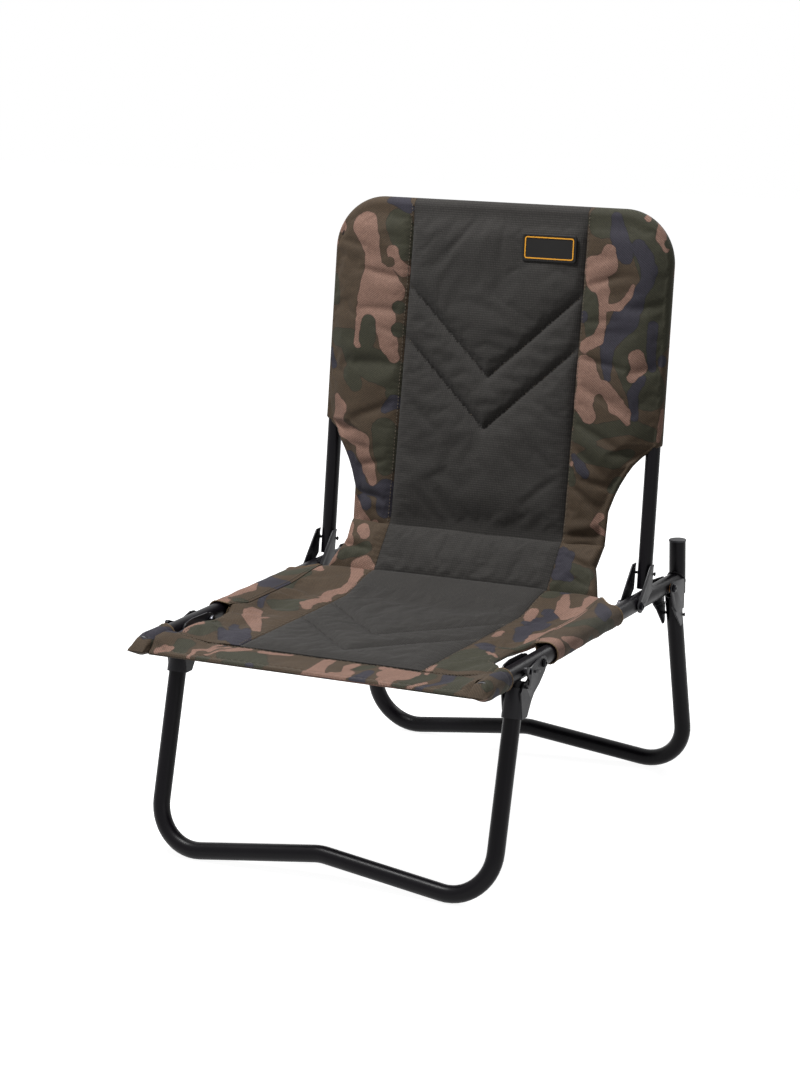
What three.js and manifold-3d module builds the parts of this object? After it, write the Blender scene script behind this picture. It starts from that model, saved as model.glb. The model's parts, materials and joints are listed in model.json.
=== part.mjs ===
// Folding fishing chair: two steel side rails carry a padded fabric sling, two leg hoops and a
// backrest hoop fold about bolts through the rails, and a sprung catch holds the front legs.
// Millimetres, +Z up, the sitter looks along -Y. The origin is on the ground under the middle.
import * as THREE from 'three';
import { mergeVertices } from 'three/addons/utils/BufferGeometryUtils.js';
import Module from 'manifold-3d';

const wasm = await Module();
wasm.setup();

// Driving dimensions of the frame
const railTube = 22;
const backTube = 19;
const tubeWall = 1.5;
const frameWidth = 473;
const railHeight = 276.8;
const gap = 0.3;
const sheet = 2;

// Distances along a rail, from its front end
const frontPivotSetback = 136;
const backPivotSetback = 426;
const rearPivotSetback = 528;
const postSetback = 575.5;
const frontLegSetback = 92.3;
const rearLegLead = 16.9;
const rearLegSetback = postSetback - rearLegLead;
const backHoopSetback = 462.6;

// Leans from the vertical
const frontLegLean = THREE.MathUtils.degToRad(16.7);
const rearLegLean = THREE.MathUtils.degToRad(10.1);
const backRecline = THREE.MathUtils.degToRad(9.2);

// Leg hoops and backrest hoop
const footBend = 58;
const kinkBend = 70;
const kinkRise = 30;
const backHoopLength = 491;
const backBend = 60;
const backTubeStand = 13;

// Rear posts
const postTop = 52;
const postBottom = 18.3;
const capLip = 0.7;
const capHeight = 2.4;
const capShoulderShare = 0.6;
const spigotLength = 9;

// Bolts, nuts, rivets and pins
const boltRadius = 3;
const boltClearance = 0.4;
const boltHeadRadius = 5.4;
const boltHeadHeight = 3;
const boltSocketRadius = 2.2;
const boltSocketDepth = 1.6;
const nutRadius = 5.6;
const nutHeight = 4.6;
const boltEnd = 1.2;
const rivetRadius = 1.8;
const rivetHeadRadius = 3;
const rivetHeadHeight = 1;
const rivetCrownShare = 0.6;
const boltCrownShare = 0.75;
const washerRadius = 6.5;

// Brackets
const frontBracketDrop = 55.3;
const rearPlateDrop = 58.3;
const backPlateRise = 46;
const noseTopDrop = 20.5;
const pivotEar = 9;

// Catch of the front legs
const catchPivotSetback = 95;
const catchPinRadius = 2.2;
const catchPinHeadRadius = 3.7;
const catchPinHeadHeight = 1.6;
const catchThickness = 2;
const catchBossRadius = 4;
const catchBossHeight = 2.6;
const catchTab = 21;
const catchTabWidth = 6;
const catchDrop = 17.5;
const studRadius = 2.3;
const studLength = 5;
const springWire = 0.9;
const springTurns = 2;
const springSteps = 8;
const wireSides = 5;
const springRadius = 3.7;

// Sling: seat and backrest pads
const centreHalfWidth = 128;
const seam = 0.4;
const clothOnTube = 2.4;
const padThickness = 15;
const puff = 4;
const channelDepth = 4;
const channelHalfWidth = 7;
const chevronDepth = 117;
const backLowChevron = 202;
const backHighChevron = 271;
const backFoot = 64;
const lumbarForward = 30;
const waistHalfWidth = 187;
const sleeveFoot = 200;
const sleeveFootInner = 168;
const creaseLead = 27;
const creaseHeight = 16.7;
const creaseHalfWidth = 200;
const seatLowChevron = 90;
const seatHighChevron = 167;
const bandDepth = 51;
const hemDrop = 5;
const hemThickness = 5;
const edgeThickness = 7;
const sleeveFront = 176;
const sleeveRear = 368;
const notchDepth = 38;
const pocketRear = 52;
const pocketTip = 10;
const pocketFold = 5;
const badgeWidth = 78;
const badgeHeight = 36;
const badgeThickness = 2.5;
const badgeCorner = 5;
const badgeSide = 79;
const badgeDrop = 57;

// Facets of round things
const tubeSides = 16;
const roundSides = 12;
const footSteps = 6;
const bendSteps = 6;
const overrun = 5;

const railRadius = railTube / 2;
const backRadius = backTube / 2;
const railX = frameWidth / 2;
const cheekIn = railRadius + gap * 2;
const cheekOut = cheekIn + sheet;

// Materials, one for each stuff
const stuff = (colour, roughness, metalness) =>
  new THREE.MeshStandardMaterial({ color: colour, roughness, metalness });
const blackSteel = stuff(0x1f1d20, 0.45, 0.3);
const bracketSteel = stuff(0x2b292e, 0.5, 0.4);
const zincSteel = stuff(0x8f8f92, 0.35, 0.9);
const brass = stuff(0xa98456, 0.4, 0.9);
const blackPlastic = stuff(0x1b1b1c, 0.55, 0);
const plainCloth = stuff(0x40413b, 0.95, 0);
const camoCloth = stuff(0x5a4f3a, 0.95, 0);
const rubber = stuff(0x242422, 0.7, 0);

// Solids

const weld = 1e-4;

/** A copy with welded points, no collapsed faces, and every face pointing out. */
function closed(geometry) {
  const plain = new THREE.BufferGeometry();
  plain.setAttribute('position', geometry.getAttribute('position').clone());
  if (geometry.index) plain.setIndex(geometry.index.clone());
  const welded = mergeVertices(plain, weld);
  const index = welded.index.array;
  const place = welded.getAttribute('position');
  const [a, b, c] = [new THREE.Vector3(), new THREE.Vector3(), new THREE.Vector3()];
  const faces = [];
  let volume = 0;
  for (let i = 0; i < index.length; i += 3) {
    const [p, q, r] = [index[i], index[i + 1], index[i + 2]];
    if (p === q || q === r || r === p) continue;
    a.fromBufferAttribute(place, p);
    b.fromBufferAttribute(place, q);
    c.fromBufferAttribute(place, r);
    volume += a.dot(b.cross(c));
    faces.push(p, q, r);
  }
  if (volume < 0) faces.reverse();
  welded.setIndex(faces);
  return welded;
}

function toSolid(geometry) {
  const tidy = closed(geometry);
  return new wasm.Manifold(new wasm.Mesh({
    numProp: 3,
    vertProperties: Float32Array.from(tidy.getAttribute('position').array),
    triVerts: Uint32Array.from(tidy.index.array),
  }));
}

function toGeometry(solid) {
  const mesh = solid.getMesh();
  const geometry = new THREE.BufferGeometry();
  const points = Float32Array.from(mesh.vertProperties);
  geometry.setAttribute('position', new THREE.BufferAttribute(points, mesh.numProp));
  geometry.setIndex(Array.from(mesh.triVerts));
  return geometry;
}

/** The largest single body of a solid, without the slivers that a cut may leave. */
function mainBody(solid) {
  const bodies = solid.decompose();
  return bodies.reduce((best, body) => (body.volume() > best.volume() ? body : best));
}

function cut(geometry, tools) {
  const rest = tools.reduce((solid, tool) => solid.subtract(toSolid(tool)), toSolid(geometry));
  return toGeometry(mainBody(rest));
}

function join(pieces) {
  const [first, ...others] = pieces.map(toSolid);
  return toGeometry(others.reduce((solid, other) => solid.add(other), first));
}

function mirrored(geometry) {
  return closed(geometry.clone().applyMatrix4(new THREE.Matrix4().makeScale(-1, 1, 1)));
}

// Outlines

function polygon(radius, sides, spin = 0) {
  const corners = [];
  for (let i = 0; i < sides; i += 1) {
    const angle = spin + ((i + 0.5) / sides) * 2 * Math.PI;
    corners.push(new THREE.Vector2(radius * Math.cos(angle), radius * Math.sin(angle)));
  }
  return corners;
}

const disc = (radius, sides = roundSides) => new THREE.Shape(polygon(radius, sides));

function pipeShape(radius, wall, spin = 0) {
  const shape = new THREE.Shape(polygon(radius, tubeSides, spin));
  shape.holes.push(new THREE.Path(polygon(radius - wall, tubeSides, spin)));
  return shape;
}

/** Points on an arc about (0, 0), from one angle to another in degrees. */
function arc(radius, from, to, steps) {
  const points = [];
  for (let i = 0; i <= steps; i += 1) {
    const angle = THREE.MathUtils.degToRad(from + ((to - from) * i) / steps);
    points.push([radius * Math.cos(angle), radius * Math.sin(angle)]);
  }
  return points;
}

const outline = (points) => new THREE.Shape(points.map(([a, b]) => new THREE.Vector2(a, b)));

// Bars: a shape pushed along one axis, from one place to another

const axisFrames = {
  x: [[0, 1, 0], [0, 0, 1], [1, 0, 0]],
  y: [[0, 0, 1], [1, 0, 0], [0, 1, 0]],
  z: [[1, 0, 0], [0, 1, 0], [0, 0, 1]],
};

function bar(shape, axis, from, to) {
  const geometry = new THREE.ExtrudeGeometry(shape, { depth: to - from, bevelEnabled: false });
  geometry.translate(0, 0, from);
  const [u, v, w] = axisFrames[axis].map((direction) => new THREE.Vector3(...direction));
  return closed(geometry.applyMatrix4(new THREE.Matrix4().makeBasis(u, v, w)));
}

/** A turned piece about the X axis: its profile lists [radius, place along X]. */
function turned(profile, sides = roundSides) {
  const points = profile.map(([radius, place]) => new THREE.Vector2(radius, place));
  return closed(new THREE.LatheGeometry(points, sides).rotateZ(-Math.PI / 2));
}

// Bent tubes

class StationPath extends THREE.Curve {
  constructor(stations) {
    super();
    this.stations = stations;
  }

  getPoint(t, target = new THREE.Vector3()) {
    const place = t * (this.stations.length - 1);
    const i = Math.min(Math.floor(place), this.stations.length - 2);
    return target.lerpVectors(this.stations[i], this.stations[i + 1], place - i);
  }

  getTangent(t, target = new THREE.Vector3()) {
    const last = this.stations.length - 1;
    const i = Math.round(t * last);
    const here = this.stations[i];
    const before = this.stations[Math.max(i - 1, 0)];
    const after = this.stations[Math.min(i + 1, last)];
    target.set(0, 0, 0);
    if (i > 0) target.add(here.clone().sub(before).normalize());
    if (i < last) target.add(after.clone().sub(here).normalize());
    return target.normalize();
  }

  getPointAt(u, target) {
    return this.getPoint(u, target);
  }

  getTangentAt(u, target) {
    return this.getTangent(u, target);
  }
}

function sweep(shape, stations) {
  const extrudePath = new StationPath(stations);
  const steps = stations.length - 1;
  return closed(new THREE.ExtrudeGeometry(shape, { steps, extrudePath, bevelEnabled: false }));
}

const inPlane = (x, z) => new THREE.Vector3(x, 0, z);

/** The points of a round bend at a corner, at the given shares of its turn. */
function bend(before, corner, after, radius, turnShares) {
  const inward = before.clone().sub(corner).normalize();
  const outward = after.clone().sub(corner).normalize();
  const turn = Math.PI - inward.angleTo(outward);
  const middle = inward.clone().add(outward).normalize();
  const centre = corner.clone().addScaledVector(middle, radius / Math.cos(turn / 2));
  const start = corner.clone().addScaledVector(inward, radius * Math.tan(turn / 2)).sub(centre);
  const axis = new THREE.Vector3().crossVectors(outward, inward).normalize();
  return turnShares.map((share) =>
    start.clone().applyAxisAngle(axis, share * turn).add(centre));
}

const evenShares = (steps) => Array.from({ length: steps + 1 }, (_, i) => i / steps);

/** A leg hoop in its own plane: down one leg, across a bottom bar bent up in the middle, and up. */
function legHoopStations(lean) {
  const rise = Math.atan2(kinkRise, railX);
  const apothem = railRadius * Math.cos(Math.PI / tubeSides);
  const lowest = (railHeight - apothem) / Math.cos(lean);
  const foot = lowest + footBend * ((1 + Math.sin(rise)) / Math.cos(rise) - Math.cos(rise));
  const turn = Math.PI / 2 + rise;
  const flatStart = (Math.PI / 2 - rise) / turn;
  const downShares = [...evenShares(footSteps).map((share) => share * flatStart), 1];
  const upShares = downShares.map((share) => 1 - share).reverse();
  const leftTop = inPlane(-railX, 0);
  const leftFoot = inPlane(-railX, -foot);
  const kink = inPlane(0, kinkRise - foot);
  const rightFoot = inPlane(railX, -foot);
  const rightTop = inPlane(railX, 0);
  return [
    leftTop,
    ...bend(leftTop, leftFoot, kink, footBend, downShares),
    ...bend(leftFoot, kink, rightFoot, kinkBend, evenShares(2)),
    ...bend(kink, rightFoot, rightTop, footBend, upShares),
    rightTop,
  ];
}

function backHoopStations(from) {
  const leftFoot = inPlane(-railX, from);
  const leftTop = inPlane(-railX, backHoopLength);
  const rightTop = inPlane(railX, backHoopLength);
  const rightFoot = inPlane(railX, from);
  return [
    leftFoot,
    ...bend(leftFoot, leftTop, rightTop, backBend, evenShares(bendSteps)),
    ...bend(leftTop, rightTop, rightFoot, backBend, evenShares(bendSteps)),
    rightFoot,
  ];
}

// The scene graph

const chair = new THREE.Group();
const railLevel = new THREE.Group();
railLevel.position.set(0, 0, railHeight);
chair.add(railLevel);
const backPlane = new THREE.Group();
backPlane.position.set(0, backHoopSetback, 0);
backPlane.rotation.x = -backRecline;
railLevel.add(backPlane);

function addPiece(group, name, geometry, material) {
  const mesh = new THREE.Mesh(geometry, material);
  mesh.name = name;
  group.add(mesh);
}

/** A right-hand piece and its mirror image on the left. */
function addPair(group, name, geometry, material) {
  addPiece(group, `${name}_right`, geometry, material);
  addPiece(group, `${name}_left`, mirrored(geometry), material);
}

const atRail = (geometry, setback, rise = 0) => geometry.translate(railX, setback, rise);
const crossHole = (radius, from, to) => bar(disc(radius), 'x', from, to);
const throughHole = (setback, rise = 0, radius = boltRadius + boltClearance) =>
  crossHole(radius, -cheekOut - overrun * 2, cheekOut + overrun * 2).translate(0, setback, rise);

function addRails() {
  const holes = [frontPivotSetback, backPivotSetback, rearPivotSetback];
  const cope = bar(disc(railRadius + gap, tubeSides), 'z', -railTube, railTube);
  const pinHole = crossHole(catchPinRadius + gap, 0, railRadius + overrun);
  const rail = cut(bar(pipeShape(railRadius, tubeWall), 'y', 0, postSetback), [
    ...holes.map((setback) => throughHole(setback)),
    cope.translate(0, postSetback, 0),
    pinHole.translate(0, catchPivotSetback, 0),
  ]);
  addPair(railLevel, 'seat_rail', atRail(rail, 0), blackSteel);
}

/** A push-in plug: a disc outside the tube and a spigot in its bore, standing on z = 0. */
function plug(radius, height) {
  const bore = railRadius - tubeWall - gap;
  const points = [[0, -spigotLength], [bore, -spigotLength], [bore, 0], [radius, 0],
    [radius, height * capShoulderShare], [radius - capLip, height], [0, height]];
  return turned(points, tubeSides).rotateY(-Math.PI / 2);
}

function addPosts() {
  const post = bar(pipeShape(railRadius, tubeWall), 'z', -postBottom, postTop);
  addPair(railLevel, 'rear_post', atRail(post, postSetback), blackSteel);
  const cap = plug(railRadius + capLip, capHeight);
  addPair(railLevel, 'post_cap', atRail(cap, postSetback, postTop + gap), blackPlastic);
  const railPlug = plug(railRadius, capHeight).rotateX(Math.PI / 2);
  addPair(railLevel, 'rail_end_plug', atRail(railPlug, -gap), blackPlastic);
}

// Everything above a level, or below it, for level cuts
const cutterReach = frameWidth * 4;
const boxAbove = (level) =>
  new THREE.BoxGeometry(cutterReach, cutterReach, cutterReach)
    .translate(0, 0, level + cutterReach / 2);

function addLegHoop(name, lean, setback, topLevel, rivetLevel) {
  const hoop = sweep(pipeShape(railRadius, tubeWall, lean), legHoopStations(lean));
  hoop.rotateX(-lean).translate(0, setback, 0);
  const tools = [boxAbove(topLevel)];
  if (rivetLevel) {
    const along = setback + rivetLevel * Math.tan(lean);
    const hole = crossHole(rivetRadius + gap, -frameWidth, frameWidth);
    tools.push(hole.translate(0, along, rivetLevel));
  }
  addPiece(railLevel, name, cut(hoop, tools), blackSteel);
}

// Plates of the brackets. Each table lists an outline in shares of the reach from the pivot to the
// tube's centre line and of the bracket's drop or rise; the ear round the bolt is an arc.

const scaled = (shares, reach, rise) => shares.map(([a, b]) => [a * reach, b * rise]);
const plate = (points, from, to) => bar(outline(points), 'x', from, to);
const bothSides = (points, from, to) => [plate(points, from, to), plate(points, -to, -from)];

// The round ears at the bolts, as angles in degrees from the direction of the sitter's back
const frontEarArc = [-40, 100];
const rearEarArc = [95, 200];
const backEarArc = [160, 290];
const collarArc = [-90, -270];

const frontReach = frontPivotSetback - frontLegSetback;
const frontCheekLowShares = [[-1.38, -1], [-1.08, -1], [-0.8, -0.69], [-0.62, -0.55], [-0.27, -0.4],
  [0.07, -0.19]];
const frontInnerTopShares = [[-0.14, 0.19], [-0.94, 0.21], [-1.3, 0.17], [-1.44, 0.08], [-1.44, -0.39]];
const frontOuterTopShares = [[-0.14, 0.175], [-0.82, 0.04], [-0.9, -0.1], [-1.0, -0.17], [-1.1, -0.2],
  [-1.25, -0.22], [-1.35, -0.3], [-1.44, -0.39]];
const studPlaceShares = [-1.19, -0.295];

/** Pressed steel collar round the front of a front leg, with two cheeks up to the pivot bolt. */
function addFrontBrackets() {
  const ear = arc(pivotEar, ...frontEarArc, footSteps);
  const low = scaled(frontCheekLowShares, frontReach, frontBracketDrop);
  const inner = [...low, ...ear, ...scaled(frontInnerTopShares, frontReach, frontBracketDrop)];
  const outer = [...low, ...ear, ...scaled(frontOuterTopShares, frontReach, frontBracketDrop)];
  const [collarFrom, collarTo] = collarArc;
  const collarShape = outline([
    ...arc(cheekOut, collarFrom, collarTo, roundSides),
    ...arc(cheekIn, collarTo, collarFrom, roundSides),
  ].map(([forward, across]) => [across, forward]));
  const collar = bar(collarShape, 'z', -frontBracketDrop / Math.cos(frontLegLean), -noseTopDrop);
  collar.rotateX(-frontLegLean).translate(0, frontLegSetback - frontPivotSetback, 0);
  const [studY, studZ] = [studPlaceShares[0] * frontReach, studPlaceShares[1] * frontBracketDrop];
  const stud = crossHole(studRadius, cheekIn + sheet / 2, cheekOut + studLength);
  const body = join([
    plate(outer, cheekIn, cheekOut),
    plate(inner, -cheekOut, -cheekIn),
    collar,
    stud.translate(0, studY, studZ),
  ]);
  const bracket = cut(body, [throughHole(0)]);
  addPair(railLevel, 'front_leg_bracket', atRail(bracket, frontPivotSetback), bracketSteel);
}

const rearReach = rearLegSetback - rearPivotSetback;
const rearUpperShares = [[-0.28, -0.06], [0.02, -0.44], [0.36, -0.6], [1.15, -0.6], [1.18, -0.33],
  [1.18, 0.07], [1.05, 0.1]];
const rearLowerShares = [[0.02, -0.44], [0.9, -1], [1.02, -1], [1.1, -0.94], [1.14, -0.5], [0.3, -0.5]];

/** Flat plates on both sides of a rear leg, stepped out over the rail at the pivot bolt. */
function addRearPlates() {
  const ear = arc(pivotEar, ...rearEarArc, footSteps);
  const upper = [...scaled(rearUpperShares, rearReach, rearPlateDrop), ...ear];
  const lower = scaled(rearLowerShares, rearReach, rearPlateDrop);
  const step = sheet - gap;
  const rivet = -rearPlateDrop * rearRivetShare;
  const rivetY = rearReach - rivet * Math.tan(rearLegLean);
  const body = join([
    plate(upper, cheekIn + step, cheekOut + step),
    plate(lower, cheekIn, cheekOut),
  ]);
  const holes = [throughHole(0), throughHole(rivetY, rivet, rivetRadius + gap)];
  const outerPlate = cut(body, holes);
  const innerPlate = mirrored(outerPlate);
  addPair(railLevel, 'rear_leg_plate_outer', atRail(outerPlate, rearPivotSetback), bracketSteel);
  addPair(railLevel, 'rear_leg_plate_inner', atRail(innerPlate, rearPivotSetback), bracketSteel);
}

const rearRivetShare = 0.78;
const backRivetShare = 0.72;
const backReach = backHoopSetback - backPivotSetback;
const backPlateShares = [[0.62, 0.08], [0.94, 0.28], [1.1, 0.92], [1.16, 1],
  [0.86, 1], [0.72, 0.9]];

/** Flat plates on both sides of the backrest tube, with the pivot bolt at their lower front. */
function addBackPlates() {
  const ear = arc(pivotEar, ...backEarArc, footSteps);
  const points = [...ear, ...scaled(backPlateShares, backReach, backPlateRise)];
  const rise = backPlateRise * backRivetShare;
  const rivetY = backReach + rise * Math.tan(backRecline);
  const pad = bar(disc(rivetHeadRadius), 'x', backRadius + gap, cheekIn + sheet / 2);
  pad.translate(0, rivetY, rise);
  const body = join([plate(points, cheekIn, cheekOut), pad]);
  const holes = [throughHole(0), throughHole(rivetY, rise, rivetRadius + gap)];
  const outerPlate = cut(body, holes);
  const innerPlate = mirrored(outerPlate);
  addPair(railLevel, 'backrest_plate_outer', atRail(outerPlate, backPivotSetback), bracketSteel);
  addPair(railLevel, 'backrest_plate_inner', atRail(innerPlate, backPivotSetback), bracketSteel);
}

// Fasteners, each across a rail or a tube, head outwards

function boltWithNut(name, setback, stack) {
  const head = stack + gap;
  const nutFace = -stack - gap;
  const end = nutFace - nutHeight - boltEnd;
  const bolt = turned([
    [0, end], [boltRadius, end], [boltRadius, head], [boltHeadRadius, head],
    [boltHeadRadius, head + boltHeadHeight / 2],
    [boltHeadRadius * boltCrownShare, head + boltHeadHeight],
    [boltSocketRadius, head + boltHeadHeight],
    [boltSocketRadius, head + boltHeadHeight - boltSocketDepth],
    [0, head + boltHeadHeight - boltSocketDepth],
  ]);
  addPair(railLevel, `${name}_bolt`, atRail(bolt, setback), zincSteel);
  const nutShape = new THREE.Shape(polygon(nutRadius, 6));
  nutShape.holes.push(new THREE.Path(polygon(boltRadius + gap, roundSides)));
  const nut = bar(nutShape, 'x', nutFace - nutHeight, nutFace);
  addPair(railLevel, `${name}_nut`, atRail(nut, setback), zincSteel);
}

function rivetPair(name, setback, rise, stack) {
  const face = stack + gap;
  const rivet = turned([
    [0, -face - rivetHeadHeight], [rivetHeadRadius * rivetCrownShare, -face - rivetHeadHeight],
    [rivetHeadRadius, -face], [rivetRadius, -face], [rivetRadius, face],
    [rivetHeadRadius, face], [rivetHeadRadius * rivetCrownShare, face + rivetHeadHeight],
    [0, face + rivetHeadHeight],
  ]);
  addPair(railLevel, name, atRail(rivet, setback, rise), zincSteel);
}

function addFasteners() {
  const stepped = cheekOut + sheet - gap;
  boltWithNut('front_pivot', frontPivotSetback, cheekOut);
  boltWithNut('backrest_pivot', backPivotSetback, cheekOut);
  boltWithNut('rear_pivot', rearPivotSetback, stepped);
  const washerShape = new THREE.Shape(polygon(washerRadius, roundSides));
  washerShape.holes.push(new THREE.Path(polygon(boltRadius + gap, roundSides)));
  const washer = bar(washerShape, 'x', railRadius + gap, stepped - sheet - gap);
  addPair(railLevel, 'rear_pivot_washer', atRail(washer, rearPivotSetback), brass);
  const rearRivet = -rearPlateDrop * rearRivetShare;
  const rearRivetY = rearLegSetback - rearRivet * Math.tan(rearLegLean);
  rivetPair('rear_leg_rivet', rearRivetY, rearRivet, cheekOut);
  const backRivet = backPlateRise * backRivetShare;
  rivetPair('backrest_rivet', backHoopSetback + backRivet * Math.tan(backRecline), backRivet, cheekOut);
}

// Catch: a sprung lever on a pin in the rail, whose hook stands behind the stud of the front bracket

const catchBodyShares = [[0.24, -0.2], [0.2, -0.85], [0.1, -1], [-0.3, -1], [-0.36, -0.86],
  [-0.2, -0.62], [-0.34, -0.4], [-0.62, 0.02]];
const catchBossShares = [-0.74, 0.3];

function addCatch() {
  const inside = cheekOut + gap * 2;
  const outside = inside + catchThickness;
  const [bossY, bossZ] = [catchBossShares[0] * catchDrop, catchBossShares[1] * catchDrop];
  const bossDisc = disc(catchBossRadius);
  const lever = join([
    plate([...scaled(catchBodyShares, catchDrop, catchDrop), [bossY, bossZ + catchBossRadius],
      [0, catchPinRadius * 2], [catchTab, -catchTabWidth / 2], [catchTab, -catchTabWidth]],
    inside, outside),
    bar(bossDisc, 'x', inside, outside + catchBossHeight).translate(0, bossY, bossZ),
    plate([[catchTab / 3, 0], [catchTab, -catchTabWidth / 2], [catchTab, -catchTabWidth],
      [catchTab / 3, -catchTabWidth / 2]], outside - catchThickness / 2, outside + catchTabWidth / 2),
  ]);
  const leverCut = cut(lever, [crossHole(catchPinRadius + gap, 0, outside * 2)]);
  addPair(railLevel, 'catch_lever', atRail(leverCut, catchPivotSetback), bracketSteel);
  const head = outside + gap;
  const seat = railRadius - tubeWall;
  const pin = turned([
    [0, seat], [catchPinRadius, seat], [catchPinRadius, head], [catchPinHeadRadius, head],
    [catchPinHeadRadius, head + catchPinHeadHeight], [0, head + catchPinHeadHeight],
  ]);
  addPair(railLevel, 'catch_pin', atRail(pin, catchPivotSetback), zincSteel);
  const wire = new THREE.Shape(polygon(springWire / 2, wireSides));
  const steps = springTurns * springSteps;
  const pitch = (inside - railRadius - springWire - gap * 2) / springTurns;
  const turns = [];
  for (let i = 0; i <= steps; i += 1) {
    const angle = (i / steps) * springTurns * 2 * Math.PI;
    const along = railRadius + gap + springWire / 2 + (pitch * i * springTurns) / steps;
    turns.push(new THREE.Vector3(along, springRadius * Math.cos(angle), springRadius * Math.sin(angle)));
  }
  addPair(railLevel, 'catch_spring', atRail(sweep(wire, turns), catchPivotSetback), zincSteel);
}

function addBackHoop() {
  const hoop = sweep(pipeShape(backRadius, tubeWall), backHoopStations(backTubeStand));
  const rise = backPlateRise * backRivetShare / Math.cos(backRecline);
  const hole = crossHole(rivetRadius + gap, -frameWidth, frameWidth).translate(0, 0, rise);
  addPiece(backPlane, 'backrest_hoop', cut(hoop, [hole]), blackSteel);
}

// Padded cloth. A slab has a top and a bottom over one grid of rows and columns, and walls between.

function slab(rows, columns, top, bottom) {
  const points = [];
  for (const surface of [top, bottom]) {
    for (let i = 0; i < rows; i += 1) {
      for (let j = 0; j < columns; j += 1) points.push(...surface(i, j));
    }
  }
  const at = (side, i, j) => (side * rows + i) * columns + j;
  const faces = [];
  const quad = (a, b, c, d) => faces.push(a, b, c, a, c, d);
  for (let i = 0; i + 1 < rows; i += 1) {
    for (let j = 0; j + 1 < columns; j += 1) {
      quad(at(0, i, j), at(0, i, j + 1), at(0, i + 1, j + 1), at(0, i + 1, j));
      quad(at(1, i, j), at(1, i + 1, j), at(1, i + 1, j + 1), at(1, i, j + 1));
    }
    quad(at(0, i, 0), at(0, i + 1, 0), at(1, i + 1, 0), at(1, i, 0));
    quad(at(0, i + 1, columns - 1), at(0, i, columns - 1), at(1, i, columns - 1), at(1, i + 1, columns - 1));
  }
  for (let j = 0; j + 1 < columns; j += 1) {
    quad(at(0, 0, j + 1), at(0, 0, j), at(1, 0, j), at(1, 0, j + 1));
    quad(at(0, rows - 1, j), at(0, rows - 1, j + 1), at(1, rows - 1, j + 1), at(1, rows - 1, j));
  }
  const geometry = new THREE.BufferGeometry();
  geometry.setAttribute('position', new THREE.Float32BufferAttribute(points, 3));
  geometry.setIndex(faces);
  return closed(geometry);
}

const { lerp, smoothstep, clamp } = THREE.MathUtils;

/** How much of its full puff a quilted face has at a distance from a sewn line. */
const quilt = (distance) => smoothstep(Math.abs(distance), 0, channelHalfWidth * 2);

/** Half the thickness of a rolled edge at a distance in from it. */
function rolled(inset, radius) {
  const depth = clamp(radius - inset, 0, radius);
  return Math.sqrt(radius * radius - depth * depth);
}

// Backrest pad. In its plane x goes across, z up along the hoop, and -y is the front.

const coverRadius = backRadius + clothOnTube;
const coverTop = backHoopLength + coverRadius;
const coverHalf = railX + coverRadius;
const coverBend = backBend + coverRadius;
const edgeSkin = 0.7;
const tubeReach = coverRadius * 4;
const backSwell = 1.2;
const waistShares = [[0, 1], [0.1, 0.67], [0.2, 0.5], [0.29, 0.37], [0.4, 0.235], [0.51, 0.13],
  [0.66, 0.02], [1, 0]];

/** The value of a table of shares at a share between its rows. */
function fromTable(shares, share) {
  const next = clamp(shares.findIndex(([at]) => at >= share), 1, shares.length - 1);
  const [[a, va], [b, vb]] = [shares[next - 1], shares[next]];
  return lerp(va, vb, clamp((share - a) / (b - a), 0, 1));
}

/** The front of the backrest pad ahead of the hoop's plane: more towards the lumbar. */
function backFront(rise) {
  const share = clamp((coverTop - rise) / (coverTop - backFoot), 0, 1);
  return lerp(coverRadius + puff / 4, lumbarForward, share ** backSwell);
}

function backRear(rise) {
  const aboveSleeve = smoothstep(rise, coverTop - tubeReach, coverTop - tubeReach / 2);
  const low = backFront(rise) - padThickness;
  return lerp(Math.min(low, lerp(-edgeThickness / 2, low, smoothstep(-rise, -sleeveFoot, -backFoot))),
    -coverRadius, aboveSleeve);
}

/** The outer edge of the cover: the hoop's round corner, the sleeve, then the drawn-in waist. */
function coverEdge(rise) {
  const corner = coverTop - coverBend;
  if (rise > corner) {
    const up = rise - corner;
    return coverHalf - coverBend + Math.sqrt(Math.max(coverBend ** 2 - up ** 2, 0));
  }
  if (rise >= sleeveFoot) return coverHalf;
  const drop = (sleeveFoot - rise) / (sleeveFoot - backFoot);
  return lerp(waistHalfWidth, coverHalf, fromTable(waistShares, drop));
}

function coverInset(x, rise) {
  const [dx, dz] = [x - coverHalf + coverBend, rise - coverTop + coverBend];
  if (dx > 0 && dz > 0) return coverBend - Math.hypot(dx, dz);
  return Math.min(coverEdge(rise) - x, coverTop - rise);
}

/** The front and rear of the pad at a place, as distances ahead of the hoop's plane. */
function backSection(x, rise) {
  const inset = coverInset(Math.abs(x), rise);
  const free = 1 - smoothstep(rise, sleeveFootInner, sleeveFoot + overrun);
  const inner = smoothstep(inset, coverRadius, tubeReach);
  const half = rolled(inset, coverRadius);
  const freeHalf = rolled(inset, edgeThickness) / 2;
  const freeMiddle = backFront(rise) - puff - edgeThickness / 2;
  const front = lerp(lerp(half, freeMiddle + freeHalf, free), backFront(rise), inner);
  const rear = lerp(lerp(-half, freeMiddle - freeHalf, free), backRear(rise), inner);
  return [front, rear];
}

/** Rows of a panel in the middle slope with the sewn chevrons. */
function chevronShift(x, row, low, high, from, to) {
  const rising = clamp((row - from) / (low - from), 0, 1);
  const falling = clamp((to - row) / (to - high), 0, 1);
  return chevronDepth * (Math.abs(x) / centreHalfWidth) * Math.min(rising, falling);
}

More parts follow.
